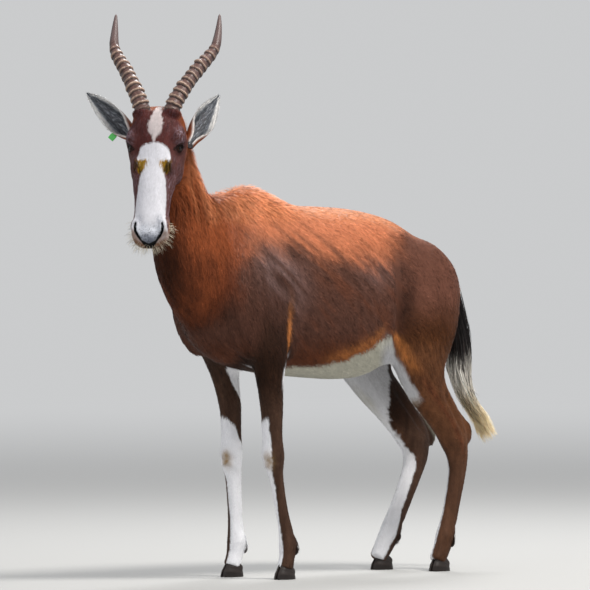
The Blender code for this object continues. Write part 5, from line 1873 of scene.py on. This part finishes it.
def make_ear(side, name):
    """A thin leaf with its edges curled forward and ridges along its inside, and the hair on it."""
    _, along, opening, across, _ = ear_frame(side)
    rings, tints, roots = [], [], []
    for share, back, width, bend in ear_surface(side):
        radius = width / math.sin(min(bend, math.pi / 2))
        centre = back + opening * radius
        thick = min(EAR_THICKNESS * 0.72, width * 0.5)
        outer, inner = [], []
        for k in range(EAR_ARC + 1):
            t = 2 * k / EAR_ARC - 1
            way = across * math.sin(bend * t) - opening * math.cos(bend * t)
            edge = 1 - 0.70 * abs(t) ** 5
            ridge = 0.0009 * math.cos(3.5 * math.pi * t) * (1 - abs(t)) * (1 - share) * (share > 0)
            outer.append(centre + way * (radius - 0.0006))
            inner.append(centre + way * (radius - 0.0006 - thick * edge - max(ridge, 0.0) * 1.5))
            roots.append((*outer[-1], *way, share, t, 0))
            roots.append((*inner[-1], *-way, share, t, 1))
        rings.append(outer + inner[::-1])
        tints.append(ear_colours(share))
    ear = finished(loft(name, rings), np.concatenate(tints), 2 * (EAR_ARC + 1))
    return ear, ear_hair(side, name, np.array(roots), np.array(along), np.array(across))


def ear_hair(side, name, grid, along, across):
    """Short hair on the back of the ear, longer pale hair inside it, and a fringe on its rim."""
    rng = np.random.default_rng(EAR_SEEDS[side])
    chosen = grid[rng.integers(0, len(grid), EAR_HAIRS)]
    step = rng.normal(0, 0.0016, (len(chosen), 2))
    normals = unit(chosen[:, 3:6])
    share, t, inner = chosen[:, 6:].T
    inside, rim = inner > 0, abs(t)
    keep = (share > -0.07) & (share < 0.97) & ~(inside & (rim < 0.3) & (rng.random(len(t)) < 0.55))
    sideways = unit(np.cross(normals, along))
    place = chosen[:, :3] + along * step[:, :1] + sideways * (step[:, 1:] * (1 - rim)[:, None])
    fringe = ramp(rim, 0.86, 0.99)[:, None]
    edge_way = unit(along * 0.9 + across * (np.sign(t) * 0.55)[:, None])
    ways = unit(along * (1 - fringe) + edge_way * fringe + rng.normal(0, 0.10, place.shape))
    lengths = np.where(inside, 0.0105, 0.0060) - 0.0020 * fringe[:, 0]
    white = srgb(240, 238, 236)
    grey = blend(srgb(90, 93, 100), white, ramp(rim, 0.56, 0.72))
    brown = blend(srgb(122, 96, 84), white, ramp(rim, 0.74, 0.92))
    colours = np.where(inside[:, None], grey, brown)
    bright = rng.random(len(t)) < 0.25
    colours = np.where((bright & inside)[:, None], srgb(158, 162, 168), colours)
    colours = colours * (1 + 0.45 * np.sin(rim * 13) * inside * (rim < 0.75))[:, None]
    colours = blend(colours, srgb(134, 74, 46), (1 - ramp(share, 0.05, 0.35)) * ~inside)
    lift = np.where(inside, 0.30, 0.14)
    return coat(f"{name}_hair", place[keep], normals[keep], ways[keep], lengths[keep],
                np.full(keep.sum(), 0.0007), colours[keep], rng, lift[keep], gather=0.1)


def make_eye(side, name):
    """A dark eyeball with a slightly raised cornea and a wide level pupil."""
    centre, turn = eye_frame(side)
    eye = ellipsoid(name, centre, (EYE_RADIUS - 0.0004,) * 3, segments=64)
    local = in_eye(points_of(eye.data), side)
    spread = np.hypot(local[:, 0], local[:, 1])
    front = local[:, 2] > 0
    local[:, 2] += 0.0010 * hump(spread, 0, 0.0085) * front
    set_points(eye.data, local @ np.array(turn).T + np.array(centre))
    grain = noise(columns(np.arctan2(local[:, 1], local[:, 0]) * 9, spread * 200, 0.0), 71)
    iris = (1 - ramp(spread, 0.0100, 0.0125)) * front
    colour = blend(srgb(14, 9, 7), srgb(50, 28, 15), iris * (0.75 + 0.25 * grain))
    pupil = np.hypot(local[:, 0] / 0.0072, local[:, 1] / 0.0040)
    return finished(eye, blend(colour, srgb(2, 2, 2), (1 - ramp(pupil, 0.88, 1.05)) * front))


LID_STEPS = 72
LASHES = 130


def make_lid_rim(side, name):
    """The dark moist edge of the lids round the eye's opening."""
    centre, turn = (np.array(part) for part in eye_frame(side))
    spots = []
    for s, c in around(LID_STEPS):
        along = EYE_OPENING[0] * rounded(c, 0.9)
        up = float(lid_edge(np.array(along))) * (1 if s >= 0 else -1)
        out = math.sqrt(max((EYE_RADIUS + 0.0008) ** 2 - math.hypot(along, up) ** 2, 1e-8))
        spots.append(np.array((along, up, out)))
    rings = []
    for spot in spots + spots[:1]:
        away = np.array((spot[0], spot[1], 0.0)) / math.hypot(spot[0], spot[1])
        size = 0.0009 * (1.25 if spot[1] > 0 else 0.9)
        rings.append([Vector(centre + turn @ (spot + away * size * s * 1.2 + (0.0, 0.0, size * c * 0.8)))
                      for s, c in around(10)])
    rim = loft(name, rings, closed=False)
    return finished(rim, np.tile(srgb(32, 23, 21), (len(rim.data.vertices), 1)), 10)


def make_lashes(side, name):
    """The lashes of the upper lid."""
    centre, turn = (np.array(part) for part in eye_frame(side))
    rng = np.random.default_rng(23 + side)
    along = EYE_OPENING[0] * np.cos(rng.uniform(0.10, 0.92, LASHES) * math.pi)
    up = lid_edge(along) + 0.0012
    roots = columns(along, up, np.sqrt((EYE_RADIUS + 0.0018) ** 2 - along**2 - up**2))
    ways = unit(columns(along * 22, 0.25 + rng.normal(0, 0.12, LASHES), 0.85))
    lengths = rng.uniform(0.0050, 0.0085, LASHES)[:, None]
    share = np.linspace(0, 1, 4)
    lines = roots[:, None] + ways[:, None] * (lengths * share)[:, :, None]
    lines[:, :, 1] -= lengths * 0.45 * share**2
    lines = lines @ turn.T + centre
    across, facing = (np.tile(turn[:, column], (LASHES, 1)) for column in (0, 2))
    tint = np.tile(srgb(20, 15, 14), (LASHES, 4, 1))
    return hair_mesh(name, lines, across, facing, np.full(LASHES, 0.00035), tint, root_spots(lines[:, 0]))


# A claw's outline on the ground, forward and sideways, and its size and shift by share of its height.
CLAW_OUTLINE = (
    (0.036, 0.0020), (0.029, 0.0120), (0.014, 0.0190), (-0.003, 0.0215), (-0.017, 0.0200),
    (-0.026, 0.0130), (-0.027, 0.0045), (-0.010, 0.0016), (0.016, 0.0014),
)
CLAW_SIZES = ((0.0, 0.95), (0.04, 1.0), (0.25, 0.96), (0.62, 0.84), (0.92, 0.75), (1.0, 0.68))
CLAW_SHIFTS = ((0.0, 0.0), (0.25, -0.002), (0.62, -0.009), (1.0, -0.013))
CLAW_STEPS = 30
GROWTH_LINE = 0.00035


def claw(name, sign, foot, heading):
    """One claw of a hoof, with growth lines round its wall."""
    across = Vector((-heading.y, heading.x, 0))
    outline = smooth_curve(CLAW_OUTLINE + CLAW_OUTLINE[:1], 5)[:-1]
    rings, tints = [], []
    for step in range(CLAW_STEPS + 1):
        share = step / CLAW_STEPS
        size, shift = float(table(share, CLAW_SIZES)), float(table(share, CLAW_SHIFTS))
        line = noise(np.array(((share * 11, sign * 3.0, 0.0),)), 81)[0]
        ring = []
        for along, wide in outline:
            reach = 0.0008 + max(wide, 0.0012) * (size if wide > 0.003 else 1.0)
            reach += GROWTH_LINE * line if wide > 0.006 else 0.0
            moved = along * size + shift * (0.3 if along < -0.012 else 1.0)
            point = foot + heading * moved + across * sign * reach
            back = point.y - foot.y
            slope = CORONET_SLOPE if back < 0 else HEEL_SLOPE
            point.z = (CORONET_HEIGHT - slope * back - 0.0006) * share
            ring.append(point)
        rings.append(ring)
        shade = 1 + 0.25 * line - 0.2 * (1 - share)
        tints.append(np.tile(srgb(44, 36, 33) * shade, (len(outline), 1)))
    return finished(loft(name, rings), np.concatenate(tints), len(outline))


def make_hooves():
    """The claws, each with the name of the node it stands for."""
    made = []
    for kind, limb_rows in (("fore", FORELEG), ("hind", HINDLEG)):
        for side, sign in SIDES:
            rows = limb_rows[side]
            foot = Vector((rows[-2][0], rows[-2][1] - FOOT_AHEAD, 0.0))
            heading = Vector((0.10 * sign, -1, 0)).normalized()
            for place, way in (("inner", -sign), ("outer", sign)):
                node = f"hoof_{kind}_{side}_{place}"
                made.append((claw(f"look_{node}", way, foot, heading), node))
    return made


def tail_places(shares):
    """Points on the tail's line, and the unit vectors along, across and behind it."""
    path = np.array(smooth_curve(TAIL_LINE, 6))
    spot = np.clip(shares, 0.0, 1.0) * (len(path) - 1)
    k = np.minimum(spot.astype(int), len(path) - 2)
    along = unit(path[k + 1] - path[k])
    across = unit(np.array((1.0, 0.0, 0.0)) - along * along[:, :1])
    return path[k] + (path[k + 1] - path[k]) * (spot - k)[:, None], along, across, np.cross(across, along)


def tail_colours(shares, light, dark):
    """Black near the root, then grey-white with dark strands, and straw at the tip."""
    turn = shares + 0.035 * light
    colour = blend(srgb(24, 20, 20), srgb(232, 227, 218), ramp(turn, 0.55, 0.66))
    colour = blend(colour, srgb(247, 227, 190), ramp(turn, 0.73, 0.88))
    return np.where((dark & (shares < 0.90))[:, None], srgb(52, 42, 40), colour)


def make_tail():
    """The dock with its short coat, and the long hair that grows from it in a tuft."""
    rows = [(*TAIL_LINE[k], radius - 0.0015, radius - 0.0015) for k, radius in enumerate(DOCK_RADIUS)]
    core = limb("tail_dock", [tuple(row) for row in smooth_curve(rows, 6)], 32)
    height = points_of(core.data)[:, 2]
    finished(core, blend(srgb(124, 78, 50), srgb(40, 30, 28), 1 - ramp(height, 0.64, 0.70)))
    rng = np.random.default_rng(17)
    return core, long_tail_hair(rng), dock_hair(core, rng)


def below_root(points):
    """1 on the part of the dock that hangs free of the trunk."""
    return 1.0 * (points[:, 2] < TAIL_LINE[0][2] - 0.004)


DOCK_HAIRS = 7500


def dock_hair(core, rng):
    """Short hair that lies down the dock, gold above and dark below."""
    roots, normals = scattered(core.data, below_root, DOCK_HAIRS, rng)
    path = np.array(smooth_curve(TAIL_LINE, 6))
    gaps = np.linalg.norm(roots[:, None] - path[None, ::2], axis=2)
    share = gaps.argmin(axis=1) * 2 / (len(path) - 1)
    _, along, _, _ = tail_places(share)
    ways = unit(on_skin(along, normals) + rng.normal(0, 0.08, roots.shape))
    dark = ramp(share + 0.05 * rng.normal(0, 1, len(share)), 0.26, 0.34)
    colours = blend(srgb(134, 84, 54), srgb(36, 28, 27), dark)
    return coat("tail_short_hair", roots, normals, ways, np.full(len(roots), 0.020),
                np.full(len(roots), 0.0012), colours, rng)


# The tail's long hairs: how many, in how many locks, and points along each.
TAIL_HAIRS = 5200
TAIL_LOCKS = 46
TAIL_LEVELS = 9


def long_tail_hair(rng):
    """Long hairs that leave the dock at many places and hang in loose locks."""
    count = TAIL_HAIRS
    lock = rng.integers(0, TAIL_LOCKS, count)
    lock_start = rng.uniform(0.27, 0.66, TAIL_LOCKS)
    lock_turn = rng.uniform(0, 2 * math.pi, TAIL_LOCKS)
    lock_bend = rng.uniform(-0.026, 0.026, TAIL_LOCKS)
    lock_spread = rng.uniform(0.012, 0.031, TAIL_LOCKS)
    start = lock_start[lock] + rng.normal(0, 0.025, count)
    length = rng.uniform(0.26, 0.46, count) + 0.12 * (start - 0.2)
    stop = np.minimum(start + length, 0.93 + 0.07 * rng.random(count))
    turn = lock_turn[lock] + rng.normal(0, 0.20, count)
    spread = lock_spread[lock] * rng.uniform(0.6, 1.15, count)
    bend = lock_bend[lock] + rng.normal(0, 0.004, count)
    light = rng.uniform(-1.4, 1.4, TAIL_LOCKS)[lock] + rng.normal(0, 0.5, count)
    dark = rng.random(count) < 0.12
    jitter = rng.normal(0, 0.14, count)
    sine, cosine = np.sin(turn)[:, None], np.cos(turn)[:, None]
    lines, tints = np.empty((2, count, TAIL_LEVELS, 3))
    for k, t in enumerate(np.linspace(0, 1, TAIL_LEVELS)):
        shares = start + (stop - start) * t
        centre, _, across, behind = tail_places(shares)
        way, flat = across * sine + behind * cosine, across * cosine - behind * sine
        out = 0.005 + spread * np.sin(math.pi * min(1.0, 0.12 + 0.74 * t)) * (1 - 0.35 * t)
        out *= 1.12 - 0.45 * ramp(shares, 0.55, 0.78)
        wave = (0.0016 + 0.0064 * t) * np.sin(9 * t + 3 * lock_turn[lock] + 0.4 * light)
        lines[:, k] = centre + way * out[:, None] + flat * (bend * t * t + wave)[:, None]
        tints[:, k] = tail_colours(shares, light, dark) * (1 + jitter)[:, None]
    _, _, across, behind = tail_places(start)
    side = behind * sine - across * cosine
    facing = unit(across * sine + behind * cosine + rng.normal(0, 0.2, side.shape))
    spots = columns((turn % (2 * math.pi)) / (2 * math.pi), np.clip(start, 0, 1))
    return hair_mesh("tail_long_hair", lines, unit(side + rng.normal(0, 0.4, side.shape)), facing,
                     np.full(count, 0.0013), tints, 0.02 + 0.96 * spots)


# The tag: the row of the ear's outline where it hangs, its profile and the middle of that.
TAG_ROW = 3
TAG_PROFILE = (
    (-0.0080, 0.002), (-0.0080, 0.0150), (-0.0065, 0.0165), (0.0065, 0.0165), (0.0080, 0.0150),
    (0.0080, 0.002), (0.0045, -0.0028), (-0.0045, -0.0028), (-0.0080, 0.002),
)
TAG_MIDDLE = 0.0068


def make_tag(name):
    """The small green plate that hangs from the lower edge of the right ear."""
    _, along, opening, across, _ = ear_frame("right")
    share, wide, curl = EAR_OUTLINE[TAG_ROW]
    width = EAR_HALF_WIDTH * wide
    down = 1 if across.z < 0 else -1
    radius = width / math.sin(min(math.radians(curl), math.pi / 2))
    edge = ear_back("right", share) + opening * radius + across * width * down
    out = (across * down + opening * 0.30).normalized()
    square = out.cross(along)
    profile = smooth_curve(TAG_PROFILE, 3)[:-1]
    rings = []
    for height, size in ((-0.0013, 0.94), (-0.0010, 1.0), (0.0010, 1.0), (0.0013, 0.94)):
        ring = []
        for a, b in profile:
            down_tag = TAG_MIDDLE + (b - TAG_MIDDLE) * size
            ring.append(edge + along * a * size + out * down_tag + square * height)
        rings.append(ring)
    tag = loft(name, rings)
    set_colours(tag.data, srgb(52, 186, 62) * (1 + 0.06 * noise(points_of(tag.data) / 0.004, 91))[:, None])
    unwrap_flat(tag.data)
    return tag


WHISKERS = 420


def near_lips(points):
    """1 on the lips and chin, where whiskers grow."""
    across, along, out = in_head(points).T
    level = mouth_level(abs(across), along)
    band = ramp(along, 0.268, 0.300) * window(out - level, -0.040, -0.004, 0.006, 0.022)
    return band * (head_share(points) > 0.5) + 1e-9


def make_whiskers(skin):
    """Fine pale hairs that stand out round the lips and chin."""
    rng = np.random.default_rng(29)
    roots, normals = scattered(skin.data, near_lips, WHISKERS, rng)
    left, _, face = (np.array(axis) for axis in head_axes())
    outward = np.sign(in_head(roots)[:, :1])
    ways = unit(normals * 0.75 + left * (outward * 0.35) - face * 0.5 + rng.normal(0, 0.22, roots.shape))
    lengths = rng.uniform(0.008, 0.026, len(roots))[:, None]
    share = np.linspace(0, 1, 5)
    lines = roots[:, None] + ways[:, None] * (lengths * share)[:, :, None]
    lines[:, :, 2] -= lengths * 0.30 * share**2
    tint = np.where((rng.random(len(roots)) < 0.15)[:, None], srgb(60, 50, 46), srgb(226, 214, 190))
    side = unit(np.cross(normals, ways))
    facing = unit(normals + 0.3 * rng.normal(0, 1, roots.shape))
    return hair_mesh("whiskers", lines, side, facing, np.full(len(roots), 0.00045),
                     np.repeat(tint[:, None], len(share), axis=1), root_spots(roots))


def make_dewclaw(name, centre):
    """A small blunt claw that points down behind the fetlock."""
    tip = centre + Vector((0, -0.0030, -0.0015))
    dew = ellipsoid(name, tip, (0.0054, 0.0052, 0.0100), Matrix.Rotation(math.radians(-18), 3, "X"), 32)
    lines = 1 + 0.25 * noise(points_of(dew.data) / (0.02, 0.02, 0.0016), 83)
    return finished(dew, np.outer(lines, srgb(50, 42, 38)))


# Materials


def set_inputs(node, inputs):
    """Sets a node's inputs by name."""
    for name, value in inputs.items():
        node.inputs[name].default_value = value


def new_material(name, inputs):
    """A material and its Principled shader, with some of the shader's inputs set."""
    material = bpy.data.materials.new(name)
    material.use_nodes = True
    principled = material.node_tree.nodes["Principled BSDF"]
    set_inputs(principled, inputs)
    return material, principled


def add_node(material, kind, inputs=None):
    """A new shader node with some of its inputs set."""
    node = material.node_tree.nodes.new(f"ShaderNode{kind}")
    set_inputs(node, inputs or {})
    return node


def shader(name, roughness, specular, variation=0.10, stretch=(1.0, 1.0, 1.0), bumps=None):
    """A surface that takes its colour from the mesh's Tint, varied by noise; bumps: size and depth."""
    material, principled = new_material(name, {"Roughness": roughness, "Specular IOR Level": specular})
    link = material.node_tree.links.new
    tint = add_node(material, "Attribute")
    tint.attribute_name = "Tint"
    place = add_node(material, "TexCoord")
    mapping = add_node(material, "Mapping", {"Scale": stretch})
    grain = add_node(material, "TexNoise", {"Scale": 90.0, "Detail": 3.0})
    shade = add_node(material, "MapRange", {"To Min": 1 - variation, "To Max": 1 + variation})
    mixed = add_node(material, "VectorMath")
    mixed.operation = "SCALE"
    link(place.outputs["Object"], mapping.inputs["Vector"])
    link(mapping.outputs["Vector"], grain.inputs["Vector"])
    link(grain.outputs["Fac"], shade.inputs["Value"])
    link(tint.outputs["Color"], mixed.inputs[0])
    link(shade.outputs["Result"], mixed.inputs["Scale"])
    link(mixed.outputs["Vector"], principled.inputs["Base Color"])
    if bumps:
        size, depth = bumps
        relief = add_node(material, "TexNoise", {"Scale": size, "Detail": 2.0})
        raised = add_node(material, "Bump", {"Strength": 0.6, "Distance": depth})
        link(mapping.outputs["Vector"], relief.inputs["Vector"])
        link(relief.outputs["Fac"], raised.inputs["Height"])
        link(raised.outputs["Normal"], principled.inputs["Normal"])
    return material


def dress(obj, material):
    """Gives an object one material."""
    obj.data.materials.clear()
    obj.data.materials.append(material)


# The whole model

# The solids that the skin stands for.
FLESH = (
    "torso", "neck", "head",
    *(f"{kind}leg_{side}_{part}" for kind in ("fore", "hind") for side in ("left", "right")
      for part in ("upper", "lower")),
)


def add_light(name, place, target, size, power, colour):
    """A round soft lamp that faces its target."""
    data = bpy.data.lights.new(name, "AREA")
    data.energy = power
    data.color = colour
    data.shape = "DISK"
    data.size = size
    lamp = new_object(name, data)
    lamp.location = place
    lamp.rotation_euler = (target - place).to_track_quat("-Z", "Y").to_euler()


# The camera: turn from straight ahead, rise, distance, target, and the photo's width there.
CAMERA_TURN = math.radians(43)
CAMERA_RISE = math.radians(1.2)
CAMERA_AWAY = 27.0
CAMERA_TARGET = Vector((0.0995, 0.0928, 0.715))
IMAGE_SPAN = 590 / 397
SENSOR = 36.0


def set_camera(shift):
    """The photo's view: a long lens from the animal's front left."""
    data = bpy.data.cameras.new("camera")
    data.sensor_width = SENSOR
    data.lens = SENSOR * CAMERA_AWAY / IMAGE_SPAN
    data.clip_end = 500.0
    camera = new_object("camera", data)
    level = Vector((math.sin(CAMERA_TURN), -math.cos(CAMERA_TURN), 0)) * math.cos(CAMERA_RISE)
    way = level + Vector((0, 0, math.sin(CAMERA_RISE)))
    camera.location = CAMERA_TARGET + shift + way * CAMERA_AWAY
    camera.rotation_euler = (-way).to_track_quat("-Z", "Y").to_euler()
    bpy.context.scene.camera = camera


STAGE_COLOUR = (0.90, 0.91, 0.92)
STAGE_LIGHT = 0.66
FLOOR_COLOUR = (0.42, 0.42, 0.415)
# Lamps: name, place from the model's middle, size, power and colour.
LAMPS = (
    ("key", (2.6, 0.7, 4.4), 1.7, 300, (1.0, 0.97, 0.92)),
    ("front", (0.4, -4.2, 2.2), 2.4, 30, (0.96, 0.98, 1.0)),
    ("rim", (-2.0, 3.2, 3.6), 1.6, 170, (1.0, 1.0, 1.0)),
)


def floor_material():
    """A pale floor that fades into the background far away."""
    material, principled = new_material("floor", {"Base Color": (*FLOOR_COLOUR, 1.0), "Roughness": 1.0})
    link = material.node_tree.links.new
    place = add_node(material, "NewGeometry")
    length = add_node(material, "VectorMath")
    length.operation = "LENGTH"
    share = add_node(material, "MapRange", {"From Min": 1.5, "From Max": 14.0})
    share.interpolation_type = "SMOOTHSTEP"
    glow = add_node(material, "Emission", {"Color": (*STAGE_COLOUR, 1.0), "Strength": STAGE_LIGHT})
    mixed = add_node(material, "MixShader")
    link(place.outputs["Position"], length.inputs[0])
    link(length.outputs["Value"], share.inputs["Value"])
    link(share.outputs["Result"], mixed.inputs["Fac"])
    link(principled.outputs["BSDF"], mixed.inputs[1])
    link(glow.outputs["Emission"], mixed.inputs[2])
    link(mixed.outputs["Shader"], material.node_tree.nodes["Material Output"].inputs["Surface"])
    return material


def set_stage(shift):
    """A plain pale floor and soft light from above."""
    bm = bmesh.new()
    bmesh.ops.create_grid(bm, x_segments=1, y_segments=1, size=200.0)
    floor = object_from("floor", bm)
    dress(floor, floor_material())
    world = bpy.data.worlds.new("world")
    world.use_nodes = True
    background = world.node_tree.nodes["Background"]
    set_inputs(background, {"Color": (*STAGE_COLOUR, 1.0), "Strength": STAGE_LIGHT})
    bpy.context.scene.world = world
    bpy.context.scene.view_settings.view_transform = "Standard"
    middle = Vector((0.05, 0.05, 0.75)) + shift
    for name, place, size, power, colour in LAMPS:
        add_light(name, middle + Vector(place), middle, size, power, colour)


def middle_of(node):
    """The middle of a node's box."""
    low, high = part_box(node)
    return Vector([(a + b) / 2 for a, b in zip(low, high)])


def main():
    """Loads the frame, models every piece and moves it onto the frame."""
    clear_scene()
    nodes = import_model()["nodes"]
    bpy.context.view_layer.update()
    shift = middle_of("eye_left") - head_point(*EYE_PLACE)
    surfaces = {
        "skin": shader("skin", 0.62, 0.08, stretch=(1.0, 0.45, 0.45), bumps=(900.0, 0.0006)),
        "hair": shader("coat_hair", 0.46, 0.10, variation=0.06),
        "horn": shader("horn", 0.42, 0.30, stretch=(1.0, 1.0, 0.25), bumps=(700.0, 0.0003)),
        "eye": shader("eye", 0.03, 0.16, variation=0.03),
        "lid": shader("lid", 0.35, 0.20, bumps=(900.0, 0.0002)),
        "hoof": shader("hoof", 0.45, 0.30, bumps=(500.0, 0.0003)),
        "tail": shader("tail_hair", 0.42, 0.22, variation=0.06),
        "tag": shader("tag", 0.35, 0.50, variation=0.04),
    }

    def add(obj, surface, slot, *replaced):
        dress(obj, surfaces[surface])
        obj.data.transform(Matrix.Translation(shift))
        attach(obj, "root")
        if replaced:
            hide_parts(*replaced)

    skin = make_skin()
    set_colours(skin.data, markings(points_of(skin.data), normals_of(skin.data)) * 0.92)
    unwrap_skin(skin.data)
    hairs = make_coat(skin) + [make_whiskers(skin)]
    add(skin, "skin", "coat", *FLESH)
    for obj in hairs:
        add(obj, "hair", "coat")
    for side, sign in SIDES:
        add(make_horn(sign, f"look_horn_{side}"), "horn", "horn", f"horn_{side}")
        ear, hair = make_ear(side, f"look_ear_{side}")
        add(ear, "skin", "ear", f"ear_{side}")
        add(hair, "hair", "ear")
        add(make_eye(sign, f"look_eye_{side}"), "eye", "eye", f"eye_{side}")
        add(make_lid_rim(sign, f"lid_{side}"), "lid", "coat")
        add(make_lashes(sign, f"lid_{side}_lashes"), "lid", "coat")
    for obj, node in make_hooves():
        add(obj, "hoof", "hoof", node)
    dock, long_hair, short_hair = make_tail()
    add(dock, "skin", "tail_hair", "tail")
    add(long_hair, "tail", "tail_hair")
    add(short_hair, "hair", "tail_hair")
    add(make_tag("look_ear_tag"), "tag", "ear_tag", "ear_tag")
    for node in sorted(name for name in nodes if name.startswith("dewclaw")):
        add(make_dewclaw(f"look_{node}", middle_of(node) - shift), "hoof", "hoof", node)
    set_stage(shift)
    set_camera(shift)


main()
